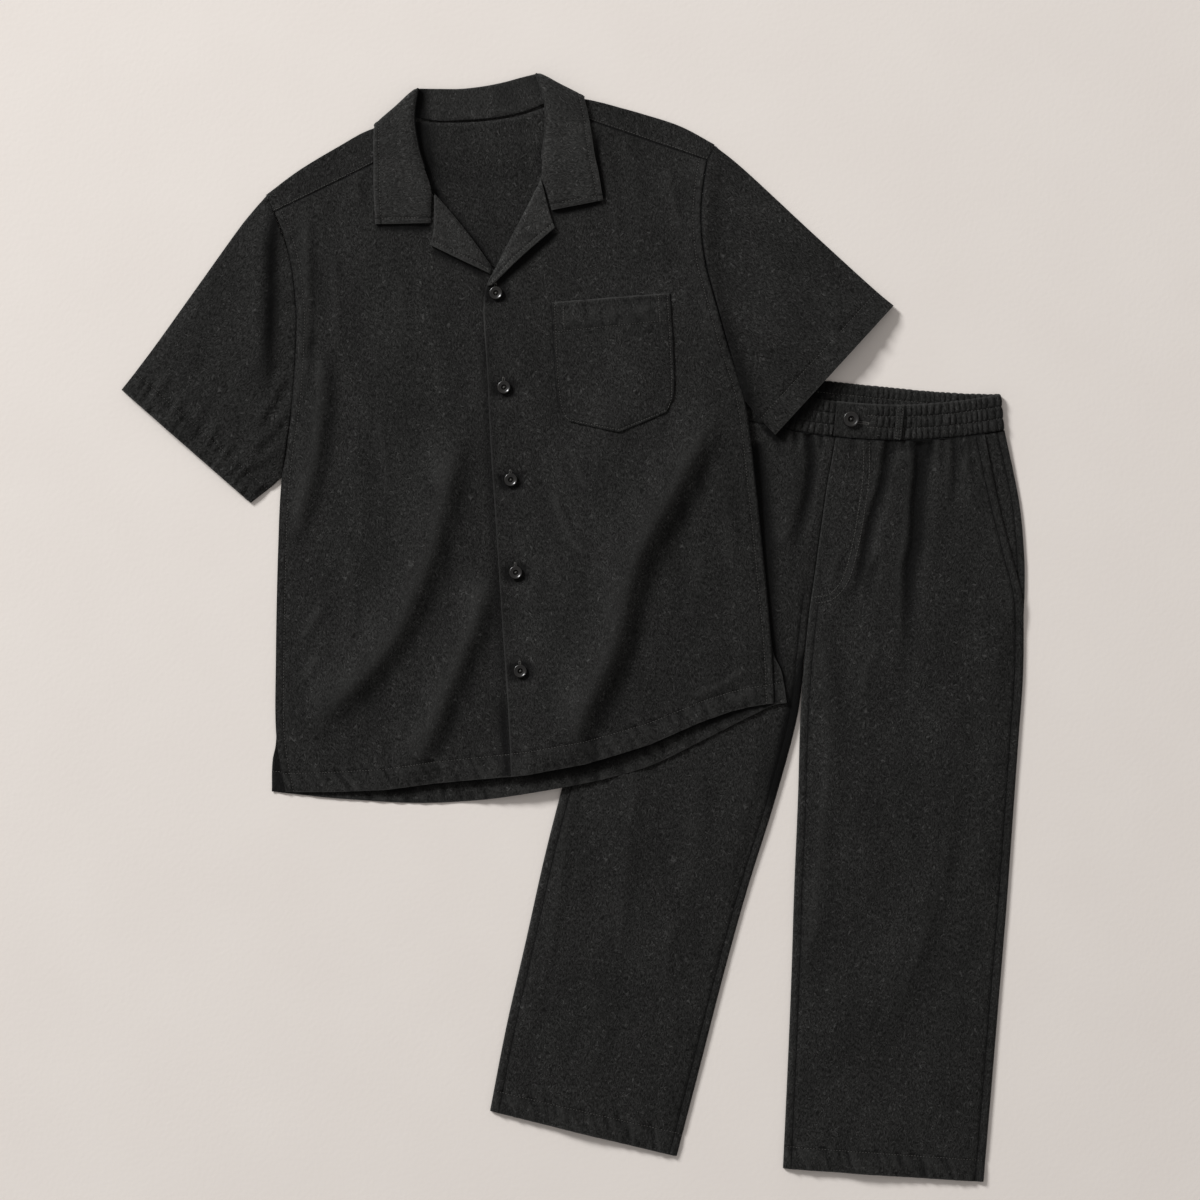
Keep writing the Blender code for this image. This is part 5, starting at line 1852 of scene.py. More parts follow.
@dataclass
class PocketPiece:
    """The patch pocket: a hemmed mouth, rounded corners and a point, sewn close to its edge."""

    shirt: Shirt
    left: tuple = ((49, -203), (46.5, -245), (44.5, -290), (46, -313), (52, -324))
    right: tuple = ((175, -207), (173.5, -245), (171, -285), (168, -312), (160, -326))
    point: Pair = (105, -348)
    mouth: float = 30.0
    edge: float = 3.4

    def make(self) -> None:
        """Builds the pocket, following the front that it is sewn to."""
        side = Border(joined=True, sewn=(self.edge,), drop=0.5)
        borders = around(Border(sewn=(self.mouth,), hem=self.mouth, drop=0.3, worn=1.0), side, side, side)
        left, right = np.array(self.left, float), np.array(self.right, float)
        panel = Panel(SHIRT, left, right, borders, self.height, (2.8, 3.0), self.shape, 71)
        cut = Cut("shirt_pocket", (0.13, 0.16), 0.0165)
        cut.make(panel, self.shirt.threads, self.shirt.finishes.linen, pitch=2.9)
        self.corner_tacks(panel)

    def height(self, own: Points) -> Points:
        """The pocket's height: a layer above the front, with its mouth standing open a little.

        Args:
            own: the pocket's grid.

        Returns:
            The heights.
        """
        across = np.linspace(0, 1, own.shape[1])[None]
        mouth = ease((own[..., 1] + 262) / 55) * np.sin(math.pi * across) ** 0.8
        return self.shirt.form.lap(own) + LAYER + 1.3 * mouth

    def shape(self, own: Points, down: Points) -> Points:
        """Draws the foot of the pocket down to its point.

        Args:
            own: the panel's grid, in the garment's own frame.
            down: how far down the panel each row lies.

        Returns:
            The bent grid.
        """
        shaped = own.copy()
        tip = self.point[1] - (self.left[-1][1] + self.right[-1][1]) / 2
        peak = 1 - np.abs(np.linspace(-1, 1, own.shape[1]))
        drop = tip * (0.72 * peak + 0.28 * np.sqrt(np.clip(peak, 0, 1)))
        shaped[..., 1] += drop[None] * ease((down - down[-1] + 60) / 60)[:, None]
        return shaped

    def corner_tacks(self, panel: Panel) -> None:
        """Sews the small boxes at the two ends of the mouth.

        Args:
            panel: the pocket.
        """
        near = int(np.argmin(np.abs(np.array(panel.borders[Edge.LEFT].marks()) - self.edge)))
        for sign in (1, -1):
            column = panel.points[:, ::sign]
            outer, inner = column[:8, near], column[:8, near + 4]
            self.shirt.threads.sew(inner, pitch=2.4)
            self.shirt.threads.sew(np.array([outer[-1], inner[-1]]), pitch=2.4)
            self.shirt.threads.sew(np.array([outer[1], inner[1]]), pitch=2.4)


@dataclass
class ButtonPiece:
    """A four-hole button: a raised rim, a dished middle and four holes, sewn on through them."""

    name: str
    node: str
    radius: float
    finishes: Finishes
    spin: float = 20.0
    sides: int = 56
    hole: float = 0.62
    hole_ring: float = 1.45

    def make(self) -> None:
        """Builds the button where its solid lies."""
        low, high = (np.array(corner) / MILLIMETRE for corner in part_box(self.node))
        x, y = (low[:2] + high[:2]) / 2
        base, top = low[2], high[2]
        r, h = self.radius, top - base
        profile = [
            (0.0, base + 0.1),
            (r * 0.86, base + 0.1),
            (r * 0.97, base + 0.42 * h),
            (r, base + 0.62 * h),
            (r * 0.985, base + 0.8 * h),
            (r * 0.94, base + 0.93 * h),
            (r * 0.88, top - 0.01 * h),
            (r * 0.83, top),
            (r * 0.78, top - 0.06 * h),
            (r * 0.7, top - 0.2 * h),
            (r * 0.6, top - 0.3 * h),
            (r * 0.46, top - 0.32 * h),
            (r * 0.42, top - 0.36 * h),
            (r * 0.39, top - 0.7 * h),
            (r * 0.35, top - 0.78 * h),
            (0.0, top - 0.8 * h),
        ]
        angles = np.arange(self.sides) * math.tau / self.sides
        rings = [[(x + q * math.cos(a), y + q * math.sin(a), z) for a in angles] for q, z in profile]
        weld = Weld()
        points = np.array(rings)
        zero = np.zeros(points.shape[:2])
        weld.add(points, points[..., :2], zero, zero, loop=True)
        disc, _ = weld.joined(self.name, self.finishes.resin)
        self.drill(disc, x, y, base, top)
        # Painted shade: the matt copy of the resin on the cup, and on the outer edge as a painted shadow at
        # the button's foot
        disc.data.materials.append(self.finishes.dull_resin)
        for face in disc.data.polygons:
            out = math.dist(face.center[:2], (x * MILLIMETRE, y * MILLIMETRE)) / (r * MILLIMETRE)
            if out < 0.43 or out > 0.955:
                face.material_index = 1
        finish_piece(disc, BUTTON_SLOT, self.node)
        self.sew_on(x, y, top - 0.8 * h)
        log.info("%s: %d points", self.name, len(disc.data.vertices))

    def hole_places(self, x: float, y: float) -> list[Pair]:
        """The middles of the four holes."""
        turns = [math.radians(self.spin + 90 * k) for k in range(4)]
        return [(x + self.hole_ring * math.cos(a), y + self.hole_ring * math.sin(a)) for a in turns]

    def drill(self, disc: Object, x: float, y: float, base: float, top: float) -> None:
        """Cuts the four holes through.

        Args:
            disc: the button.
            x: its middle along X.
            y: its middle along Y.
            base: the height of its underside.
            top: the height of its rim.
        """
        angles = np.arange(14) * math.tau / 14
        points, faces = [], []
        for hx, hy in self.hole_places(x, y):
            first = len(points)
            for z in (base - 1, top + 1):
                points += [(hx + self.hole * math.cos(a), hy + self.hole * math.sin(a), z) for a in angles]
            n = len(angles)
            steps = [(first + k, first + (k + 1) % n) for k in range(n)]
            faces += [[k, after, n + after, n + k] for k, after in steps]
            faces += [[first + k for k in range(n)][::-1], [first + n + k for k in range(n)]]
        drill = link_mesh(f"{self.name}_drill", points, faces, self.finishes.resin)
        cut = disc.modifiers.new("holes", "BOOLEAN")
        cut.operation = "DIFFERENCE"
        cut.object = drill
        bpy.context.view_layer.update()
        graph = bpy.context.evaluated_depsgraph_get()
        done = bpy.data.meshes.new_from_object(disc.evaluated_get(graph))
        disc.modifiers.clear()
        disc.data = done
        done.shade_smooth()
        done.set_sharp_from_angle(angle=math.radians(40))
        bpy.data.objects.remove(drill)

    def sew_on(self, x: float, y: float, floor: float) -> None:
        """Sews a cross of thread through the holes.

        Args:
            x: the button's middle along X.
            y: its middle along Y.
            floor: the height of its dished middle.
        """
        places = self.hole_places(x, y)
        thread = Stitching(pitch=3.0, length=2.9, radius=0.36, rise=0.9)
        for a, b in ((0, 2), (3, 1)):
            line = np.array([(*places[a], floor), (*places[b], floor)])
            for shift in (-0.18, 0.18):
                thread.starts.append(line[:1] + (shift, shift, 0.1))
                thread.ends.append(line[1:] + (shift, shift, 0.1))
        obj = thread.build(f"{self.name}_thread", self.finishes.thread)
        finish_piece(obj, LINEN_SLOT)


@dataclass
class Trousers:
    """The trousers' four legs, pocket facing, waistband, belt loop and stitching."""

    finishes: Finishes
    threads: Stitching = field(default_factory=Stitching)
    hem: float = 23.0
    air: float = 2.6
    front_middle: float = CLOTH / 2 + LAYER
    band_middle: float = 5.1
    band_rise: float = 26
    lap_rise: float = 2.2
    lap_end: float = 74
    join_ramp: float = 75
    pocket_end: float = -190
    pocket_ramp: float = 35
    seam_line: float = 8.0
    left_front: Panel = field(init=False)  # kept for the fly's stitches
    folds: tuple[Fold, ...] = (
        Fold(
            ((-5, -160), (7, -226), (16, -278), (23, -341), (25, -405), (28, -469), (27, -522), (27, -600)),
            3.2, 12, 13,
        ),
        Fold(
            ((145, -250), (152, -296), (161, -338), (156, -391), (152, -470), (137, -527), (115, -630)),
            2.8, 34, 13,
        ),
        Fold(((70, -150), (62, -260), (66, -420), (80, -600), (84, -720)), 1.6, 26, 24),
        Fold(((185, -120), (192, -300), (196, -500), (196, -700)), 1.4, 26, 16),
        Fold(((-242, -380), (-245, -466), (-249, -551), (-256, -616), (-268, -700)), 2.2, 14, 8),
        Fold(((-184, -340), (-179, -437), (-179, -490), (-178, -580)), 1.4, 24, 11),
        Fold(((-107, -410), (-106, -500)), 0.9, 14, 8),
        Fold(((-121, -520), (-126, -602)), 1.0, 12, 7),
        Fold(((-191, -600), (-188, -725)), 1.0, 14, 8),
        Fold(((-43, -290), (-50, -349), (-59, -414), (-73, -522), (-84, -610)), 1.6, 20, 9),
        Fold(((17, -110), (10, -135), (8, -160)), 1.1, 6, 4),
        Fold(((32, -116), (25, -144), (21, -164)), 1.1, 5, 4),
        Fold(((66, -205), (56, -231), (50, -268)), 0.9, 9, 6),
        Fold(((-46, -20), (-44, -70), (-50, -130)), 1.8, 10, 8),
    )
    # Painted shadows where the shirt, or the leg's own edge, keeps the light off. Each one's height is how
    # dark it is.
    hollows: tuple[Fold, ...] = (
        Fold(
            ((-85.2, -11.7), (-71.2, -74.1), (-60.3, -137), (-52.7, -189.4), (-44, -231.2), (-25.2, -288.9)),
            0.95, 20, 8, (0.02, 0.1),
        ),
        Fold(((-7.4, 69), (-31.9, 38.7), (-52.7, 13.1), (-70.5, -10.1)), 1.3, 20, 9, (0.02, 0.02)),
        Fold(
            (
                (-10.9, -222.4), (-11.5, -246.9), (-15.4, -270.8), (-20.5, -303.3),
                (-24.5, -335.7), (-30.6, -379), (-36.7, -422.3),
            ),
            1.3, 7, 8, (0.1, 0.3),
        ),
    )
    # The valleys that the gathers leave: each path starts at the waist seam
    valleys: tuple[Fold, ...] = (
        Fold(
            ((-32, 2), (-26, -32), (-26, -64), (-30, -91), (-32, -123), (-33, -160)),
            -3.2, 6, 8, (0.02, 0.6),
        ),
        Fold(
            ((52, 5), (52, -29), (49, -53), (43, -84), (40, -110), (38, -143), (33, -170), (25, -205)),
            -3.4, 5, 8, (0.02, 0.5),
        ),
        Fold(((56, -112), (48, -152), (45, -190)), -1.4, 4, 7, (0.3, 0.5)),
        Fold(
            ((85, 8), (88, -26), (88, -57), (90, -100), (88, -132), (93, -206), (94, -302)),
            -4.6, 6, 12, (0.02, 0.75),
        ),
        Fold(((99, 11), (98, -20)), -2.2, 3.5, 4.5, (0.02, 0.8)),
        Fold(((70, 7), (69, -15)), -2.4, 4, 4, (0.02, 0.8)),
        Fold(((121, 14), (126, -22), (127, -85)), -2.4, 4, 6, (0.02, 0.8)),
        Fold(((137, 18), (145, -20), (153, -60)), -1.5, 4, 6, (0.02, 0.8)),
        Fold(((-60, 3), (-62, -40)), -2.0, 5, 6, (0.02, 0.8)),
        Fold(((-46, 2), (-44, -26)), -2.0, 4, 5, (0.02, 0.8)),
        Fold(((-18, 0), (-16, -24)), -1.6, 3, 4, (0.02, 0.8)),
        Fold(((16, 1), (15, -24)), -1.6, 4, 5, (0.02, 0.8)),
        Fold(((34, 2), (35, -30)), -1.4, 4, 5, (0.02, 0.8)),
        Fold(((61, 3), (60, -22)), -1.4, 3, 4, (0.02, 0.8)),
        Fold(((77, 5), (78, -14)), -1.3, 3, 3.5, (0.02, 0.8)),
        Fold(((110, 10), (112, -30)), -1.5, 4, 5, (0.02, 0.8)),
        Fold(((130, 15), (134, -18)), -1.3, 3, 4, (0.02, 0.8)),
        Fold(((148, 19), (156, -14)), -1.3, 3, 4, (0.02, 0.8)),
    )

    def gathered(self, own: Points) -> Points:
        """How the gathers shape a front: a swell below the waist seam, cut by a valley at each gather.

        Args:
            own: points of the garment's own frame.

        Returns:
            How far they lift each point.
        """
        x, y = own[..., 0], own[..., 1]
        down = np.maximum(self.front_foot(x) - y, 0)
        return 1.9 * np.exp(-down / 60) * ease((x + 78) / 20) + lift(own, self.valleys)

    def front_foot(self, x: Points) -> Points:
        """Where the front waist seam lies."""
        return self.band_rise * (x / 174) ** 2

    def back_foot(self, x: Points) -> Points:
        """Where the back waist seam lies."""
        return 20.5 + 5.5 * (x / 174) ** 4

    def front_height(self, side: Side) -> Rule:
        """Gives the height of one front.

        Args:
            side: which front.

        Returns:
            The rule for its height.
        """
        drape = Drape(81 + side.value, 1.1, 1.0)

        def height(own: Points) -> Points:
            """The front's height above the surface.

            Args:
                own: the front's grid.

            Returns:
                The heights.
            """
            y = own[..., 1]
            u = np.linspace(0, 1, own.shape[1])[None]
            if side is Side.RIGHT:
                u = 1 - u
            round_off = np.sin(math.pi * u)
            air = self.air * round_off**0.55
            if side is Side.LEFT:
                rise = ease((y - self.pocket_end) / self.pocket_ramp)
                air = air + (LAYER + SEAM) * ease((u - 0.7) / 0.25) * rise
                air = air + 0.8 * ease(1 - u / 0.05) * ease((y + 215) / 30)
            top = self.band_middle - self.front_middle
            if side is Side.LEFT:
                top = top + self.lap_rise * ease((self.lap_end - own[..., 0]) / 40)
            join = top * ease(y / self.join_ramp + 0.8)
            waves = drape.at(own) * round_off**0.6 * ease((-y - 20) / 100)
            folded = lift(own, self.folds) * round_off**0.4
            return self.front_middle + np.maximum(air, join) + self.gathered(own) + folded + waves

        return height

    def waist_bend(self, foot: Rule) -> Callable[[Points, Points], Points]:
        """Gives the move that draws the top rows to the curve of the waist seam.

        Args:
            foot: gives where the waist seam lies.

        Returns:
            The move.
        """

        def bend(own: Points, down: Points) -> Points:
            """Moves the top rows.

            Args:
                own: the panel's grid, in the garment's own frame.
                down: how far down the panel each row lies.

            Returns:
                The bent grid.
            """
            shaped = own.copy()
            move = foot(own[0, :, 0]) - SEAM - own[0, :, 1]
            shaped[..., 1] += move[None] * ease(1 - down / 80)[:, None]
            return shaped

        return bend

    def make_leg(self, side: Side) -> None:
        """One leg: its front and its back.

        Args:
            side: which leg.
        """
        name = side.name.lower()
        inner, front, outer = np.array(LEFT_LEG if side is Side.LEFT else RIGHT_LEG, float).swapaxes(0, 1)
        inner_border = Border(pressed=(self.seam_line,), drop=0.6, worn=0.3, start=175)
        outer_border = Border(pressed=(self.seam_line + 1,), drop=0.6, worn=0.4)
        hem = Border(sewn=(self.hem,), hem=self.hem, pucker=0.75)
        first, last = (inner, front) if side is Side.LEFT else (front, inner)
        left, right = (inner_border, outer_border) if side is Side.LEFT else (outer_border, inner_border)
        borders = around(Border(joined=True, drop=0.3), hem, left, right)
        bend = self.waist_bend(self.front_foot)
        panel = Panel(TROUSERS, first, last, borders, self.front_height(side), (2.9, 4.2), bend, 91)
        # Painted shadows, and painted shade along the valleys of the gathers
        panel.darken(self.hollows[:2] if side is Side.LEFT else self.hollows)
        gathers = np.maximum(-lift(panel.own, self.valleys), 0)
        panel.crease = np.maximum(panel.crease, 0.85 * ease(gathers / 3.6))
        cut = Cut(f"trouser_front_{name}", (0.27, 0.80), 0.178 if side is Side.LEFT else 0.176)
        cut.make(panel, self.threads, self.finishes.linen)
        if side is Side.LEFT:
            self.left_front = panel
        first, last = (inner, outer) if side is Side.LEFT else (outer, inner)
        borders, bend = around(PLAIN, PLAIN, PLAIN, PLAIN), self.waist_bend(self.back_foot)
        back = Panel(TROUSERS, first, last, borders, self.flat_height, (9, 12), bend, 92)
        cut = Cut(f"trouser_back_{name}", (0.28, 0.83), 0.185)
        cut.make(back, self.threads, self.finishes.linen)

    def flat_height(self, own: Points) -> Points:
        """The backs lie flat on the surface."""
        return np.full(own.shape[:-1], CLOTH / 2)

    def make_pocket_facing(self) -> None:
        """The piece that shows inside the slanted side pocket."""
        rows = [row for row in LEFT_LEG if row[2][0] - row[1][0] > 3]
        inner = np.array([row[1] for row in rows], float) - (6, 0)
        outer = np.array([row[2] for row in rows], float)
        outside = Border(pressed=(self.seam_line,), drop=0.6, worn=0.4, reach=9.1)
        borders = around(SEAMED, PLAIN, PLAIN, outside)

        def height(own: Points) -> Points:
            """A layer below the front's edge."""
            join = (self.band_middle - LAYER - self.front_middle) * ease((own[..., 1] + 40) / 60)
            return self.front_middle + np.maximum(join, 0) + 0.3 * Drape(95, 1, 1).at(own)

        bend = self.waist_bend(self.front_foot)
        panel = Panel(TROUSERS, inner, outer, borders, height, (2.0, 3.0), bend, 96)
        cut = Cut("trouser_pocket_facing", (0.05, 0.19), 0.0044)
        cut.make(panel, self.threads, self.finishes.linen)

    def make_fly(self) -> None:
        """The curved line of stitches that holds the fly, and the short tacks at its foot."""
        curve = ((26, -2), (30, -36), (29, -78), (26, -116), (20, -148), (8, -166), (-8, -171))
        inner = evenly(curve, 120)
        for own in (inner, inner + 6.5 * sideways(inner)):
            self.threads.sew(TROUSERS.at(own, self.surface_at(own)))
        for y in (-171, -206):
            bar = np.array([(-10.5, y), (-4.5, y)], float)
            self.threads.sew(TROUSERS.at(bar, self.surface_at(bar)), pitch=2.0)

    def surface_at(self, own: Points) -> Points:
        """The left front's height under points, read from its nearest grid points.

        Args:
            own: points of the garment's own frame.

        Returns:
            The heights.
        """
        grid = self.left_front.own.reshape(-1, 2)
        z = self.left_front.points[..., 2].reshape(-1)
        near = np.argmin(np.linalg.norm(grid[None] - own[:, None], axis=2), axis=1)
        return z[near]


@dataclass
class WaistbandPiece:
    """The elastic waistband: a casing gathered in three tiers, wound once round and lapped at the fly."""

    trousers: Trousers
    height: float = 37.2
    taper: float = 0.043  # how much narrower its top edge is drawn
    end: float = 171.5
    under: float = 20.0
    lap: float = -6.0
    lap_plain: float = 34.0
    lap_rise: float = 2.7
    front_middle: float = 5.1
    back_middle: float = 1.1
    pitch: float = 6.4
    rib: float = 2.1
    tiers: int = 3
    fine: float = 0.9
    coarse: float = 3.0
    thickness: float = 0.9
    buttonhole: Pair = (22, 17.4)
    tier_marks: tuple[float, ...] = (0.0, 0.04, 0.1, 0.19, 0.32, 0.5, 0.68, 0.81, 0.9, 0.96)

    def ribs(self, x: Points, rise: Points, seed: int) -> tuple[Points, Points]:
        """The ribs of one run.

        Args:
            x: how far along the run each station is.
            rise: how far up the band each row is, from 0 to 1.
            seed: which random spacing the run has.

        Returns:
            The ribs' swell from 0 to 1 at each station and row, and how full the tier is there.
        """
        tier = np.minimum((rise * self.tiers).astype(int), self.tiers - 1)
        inside = rise * self.tiers - tier
        full = np.sin(math.pi * np.clip(inside, 0, 1)) ** 0.5
        grid = np.stack(np.broadcast_arrays(x[:, None], (tier * 900.0)[None]), -1)
        slow = np.stack(np.broadcast_arrays(x[:, None], (rise * 60.0)[None]), -1)
        wander = Waves(seed, 13, 40, 0.42).at(slow) + Waves(seed + 1, 17, 700, 0.2).at(grid)
        ribs = np.abs(np.sin(math.pi * (x[:, None] / self.pitch + wander))) ** 0.75
        size = 0.8 + Waves(seed + 2, 8, 300, 0.3).at(grid)
        return ribs * size, np.broadcast_to(full[None], ribs.shape)

    def make(self) -> None:
        """Builds the band as one strip: under the lap, round the back and over the lap."""
        marks = [(tier + mark) / self.tiers for tier in range(self.tiers) for mark in self.tier_marks]
        rise = np.array(marks + [1.0])
        fine, hidden = np.arange(self.under, -74, -self.fine), np.arange(-74, -self.end, -self.coarse)
        front_right = np.concatenate([fine, hidden])
        hidden, fine = np.arange(-self.end, -40, self.coarse), np.arange(-40, self.end, self.fine)
        back = np.concatenate([hidden, fine])
        front_left = np.arange(self.end, self.lap - 0.01, -self.fine)
        radius = (self.front_middle - self.back_middle) / 2
        turn = np.linspace(0, math.pi, 9)[1:-1]
        front_foot, back_foot = self.trousers.front_foot, self.trousers.back_foot
        runs = [
            self.run(front_right, rise, self.front_run, 101, front_foot, self.right_amount),
            self.run_end(-self.end, turn, rise, radius),
            self.run(back, rise, self.back_run, 105, back_foot, self.back_amount),
            self.run_end(self.end, turn[::-1], rise, radius),
            self.run(front_left, rise, self.left_run, 109, front_foot, self.left_amount),
        ]
        points, crease, worn = (np.concatenate(part) for part in zip(*runs))
        along = run_of(points[:, 0])
        grain = np.stack(np.broadcast_arrays(along[:, None] * 1.3, (rise * self.height)[None]), -1)
        weld = Weld()
        weld.add(points, grain, crease, worn)
        cut = Cut("trouser_waistband", (1.02, 0.04), 0.0384, Held.GATHERED)
        cut.build(weld, self.trousers.finishes.linen, self.thickness)
        self.stitch_tiers(points, front_right, back, front_left)
        self.trousers.threads.buttonhole(self.face, self.buttonhole, (1, 0), 15)

    def face(self, own: Points) -> Points:
        """Points on the face of the lap."""
        return TROUSERS.at(own, self.left_run(own[:, 0]) + 0.45 + self.thickness / 2)

    def front_run(self, x: Points) -> Points:
        """The height of the front run under the lap."""
        return np.full(x.shape, self.front_middle)

    def back_run(self, x: Points) -> Points:
        """The height of the back run."""
        return np.full(x.shape, self.back_middle)

    def left_run(self, x: Points) -> Points:
        """The height of the front run that ends in the lap."""
        return self.front_middle + self.lap_rise * ease((self.lap_plain + 40 - x) / 40)

    def right_amount(self, x: Points) -> Points:
        """How strongly the run under the lap is ribbed."""
        return ease((-self.lap - x - 4) / 10)

    def back_amount(self, x: Points) -> Points:
        """How strongly the back run is ribbed."""
        return np.full(x.shape, 0.75)

    def left_amount(self, x: Points) -> Points:
        """How strongly the lapped run is ribbed. It is nearly plain by its button."""
        return 0.12 + 0.88 * ease((x - self.lap_plain + 8) / 22)

    def run(
        self, x: Points, rise: Points, middle: Rule, seed: int, foot: Rule, amount: Rule
    ) -> tuple[Points, Points, Points]:
        """One run of the band.

        Args:
            x: its stations.
            rise: its rows, from 0 at the seam to 1 at the top edge.
            middle: gives its height.
            seed: which random spacing its ribs have.
            foot: gives its lower edge.
            amount: gives how strongly it is ribbed.

        Returns:
            Its points in the shared frame, how dark each one's painted shade is, and how pale wear and
            painted highlight make it.
        """
        ribs, full = self.ribs(x, rise, seed)
        share = amount(x)[:, None]
        top = bump((1 - rise)[None] * self.height / 2.0)
        y = foot(x)[:, None] + SEAM + rise[None] * self.height + share * top * 0.9 * (ribs - 0.6)
        pinch = (1 - full) * share
        z = middle(x)[:, None] + share * full * (self.rib * ribs - 0.35) - 0.35 * pinch
        crumples = Waves(seed + 3, 14, 30, 1).at(np.stack([x[:, None] + 0 * y, y], -1))
        z = z + 0.45 * (1 - share) + 0.12 * (1 - share) * crumples
        edge = np.minimum(rise, 1 - rise)[None] * self.height
        z = z - 0.45 * bump(edge / 0.9)
        # Painted shade in the pinches between the tiers, between the ribs, along the waist seam and where the
        # painted shadows lie; the rib tops and the top edge are paler, from wear and painted highlight
        crease = np.maximum(0.9 * share * (1 - full) ** 3, 0.9 * share * full * bump(ribs / 0.25))
        crease = np.maximum(crease, 0.5 * bump(rise[None] * self.height / 0.8) + 0 * z)
        worn_and_lit = 0.25 * share * full * ease((ribs - 0.7) / 0.3)
        worn = 0.9 * bump((1 - rise)[None] * self.height / 1.0) + worn_and_lit
        own = np.stack([x[:, None] * (1 - self.taper * rise[None]), y], -1)
        crease = np.maximum(crease, np.minimum(lift(own, self.trousers.hollows), 0.95))
        return TROUSERS.at(own, z), crease, worn

    def run_end(
        self, end: float, turn: Points, rise: Points, radius: float
    ) -> tuple[Points, Points, Points]:
        """The fold at one end of the flattened band, drawn in where the elastic is sewn.

        Args:
            end: where along X the band folds.
            turn: how far round the fold each station is.
            rise: its rows, from 0 at the seam to 1 at the top edge.
            radius: the fold's radius.

        Returns:
            Its points in the shared frame, how dark each one's painted shade is, and how pale wear and
            painted highlight make it.
        """
        sign = 1 if end > 0 else -1
        tier = np.minimum((rise * self.tiers).astype(int), self.tiers - 1)
        full = np.sin(math.pi * np.clip(rise * self.tiers - tier, 0, 1)) ** 0.5
        angle = turn[:, None]
        reach = (radius + 0.5) * np.sin(angle) * (0.35 + 0.65 * full[None])
        middle = (self.front_middle + self.back_middle) / 2
        z = middle + radius * np.cos(angle) + 0 * reach
        y = self.trousers.front_foot(np.array([end]))[0] + SEAM + rise * self.height
        x = end * (1 - self.taper * rise)[None] + sign * reach
        own = np.stack(np.broadcast_arrays(x, y[None]), -1)
        # Painted shade in the pinches where the elastic is sewn
        crease = 0.7 * (1 - full[None]) ** 2 + 0 * z
        return TROUSERS.at(own, z), crease, np.zeros(z.shape)

    def stitch_tiers(
        self, points: Points, front_right: Points, back: Points, front_left: Points
    ) -> None:
        """Sews the rows that hold the elastic, where they show.

        Args:
            points: the band's grid.
            front_right: the stations of the run under the lap.
            back: the stations of the back run.
            front_left: the stations of the lapped run.
        """
        threads = self.trousers.threads
        rows = len(self.tier_marks)
        ribbed = points[-len(front_left) :][front_left > self.lap_plain - 6]
        back_start = len(front_right) + 7
        behind = points[back_start : back_start + len(back)][back > -60]
        for tier in range(1, self.tiers):
            threads.sew(ribbed[:, tier * rows])
            threads.sew(behind[:, tier * rows])


@dataclass
class BeltLoopPiece:
    """The belt loop: a folded strap, sewn down at both ends."""

    trousers: Trousers
    x: float = 62.0
    width: float = 7.5
    height: float = 37.2

    def make(self) -> None:
        """Builds the strap over the waistband."""
        foot = float(self.trousers.front_foot(np.array([self.x]))[0])
        low, high = foot + SEAM + 0.3, foot + SEAM + self.height - 0.3
        rows = np.linspace(high, low, 5)
        left = np.array([(self.x - self.width / 2, y) for y in rows])
        right = np.array([(self.x + self.width / 2, y) for y in rows])
        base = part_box("trouser_belt_loop")[0][2] / MILLIMETRE

        def height(own: Points) -> Points:
            """The strap stands off the band between its ends."""
            t = (own[..., 1] - low) / (high - low)
            return base + 0.35 + 0.8 * np.sin(math.pi * np.clip(t, 0, 1)) ** 0.6

        side = Border(sewn=(1.6,), drop=0.5, worn=0.6, reach=2.7)
        end = Border(drop=0.7, worn=0.5)
        panel = Panel(TROUSERS, left, right, around(end, end, side, side), height, (1.0, 1.6), None, 98)
        threads = self.trousers.threads
        cut = Cut("trouser_belt_loop", (0.01, 0.042), 0.00032)
        cut.make(panel, threads, self.trousers.finishes.linen, pitch=2.7)
        for share in (0.06, 0.94):
            row = panel.points[int(share * (len(panel.points) - 1))]
            threads.sew(row[2:-2], pitch=1.1)


@dataclass
class Studio:
    """The floor, the light and the camera."""

    frame_width: float = 1272.0
    centre: Pair = (28.6, 29.7)
    lens: float = 85.0
    sensor: float = 36.0
    floor_size: float = 8.0
    key_from: tuple[float, float, float] = (-7.0, 7.0, 4.9)
    key_size: float = 2.6
    key_power: float = 1470.0
    fill: float = 0.36

    def make(self) -> None:
        """Sets the stage and points the camera straight down."""
        scene = bpy.context.scene
        scene.view_settings.view_transform = "Standard"
        half = self.floor_size / 2 / MILLIMETRE
        corners = [(-half, -half, -0.4), (half, -half, -0.4), (half, half, -0.4), (-half, half, -0.4)]
        floor = link_mesh("floor", corners, [[0, 1, 2, 3]], PaintedBoard().material())
        floor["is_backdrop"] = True

        world = bpy.data.worlds.new("soft room")
        world.use_nodes = True
        world.node_tree.nodes["Background"].inputs["Color"].default_value = srgb("#fcf8f6")
        world.node_tree.nodes["Background"].inputs["Strength"].default_value = self.fill
        scene.world = world

        light = bpy.data.lights.new("window", "AREA")
        light.size = self.key_size
        light.energy = self.key_power
        light.color = srgb("#ffffff")[:3]
        key = bpy.data.objects.new("window", light)
        key.location = self.key_from
        key.rotation_euler = (-Vector(self.key_from)).to_track_quat("-Z", "Y").to_euler()
        scene.collection.objects.link(key)

        camera = bpy.data.cameras.new("camera")
        camera.lens = self.lens
        camera.sensor_width = self.sensor
        camera.clip_end = 20
        eye = bpy.data.objects.new("camera", camera)
        distance = self.frame_width * self.lens / self.sensor
        eye.location = Vector((*self.centre, distance)) * MILLIMETRE
        scene.collection.objects.link(eye)
        scene.camera = eye


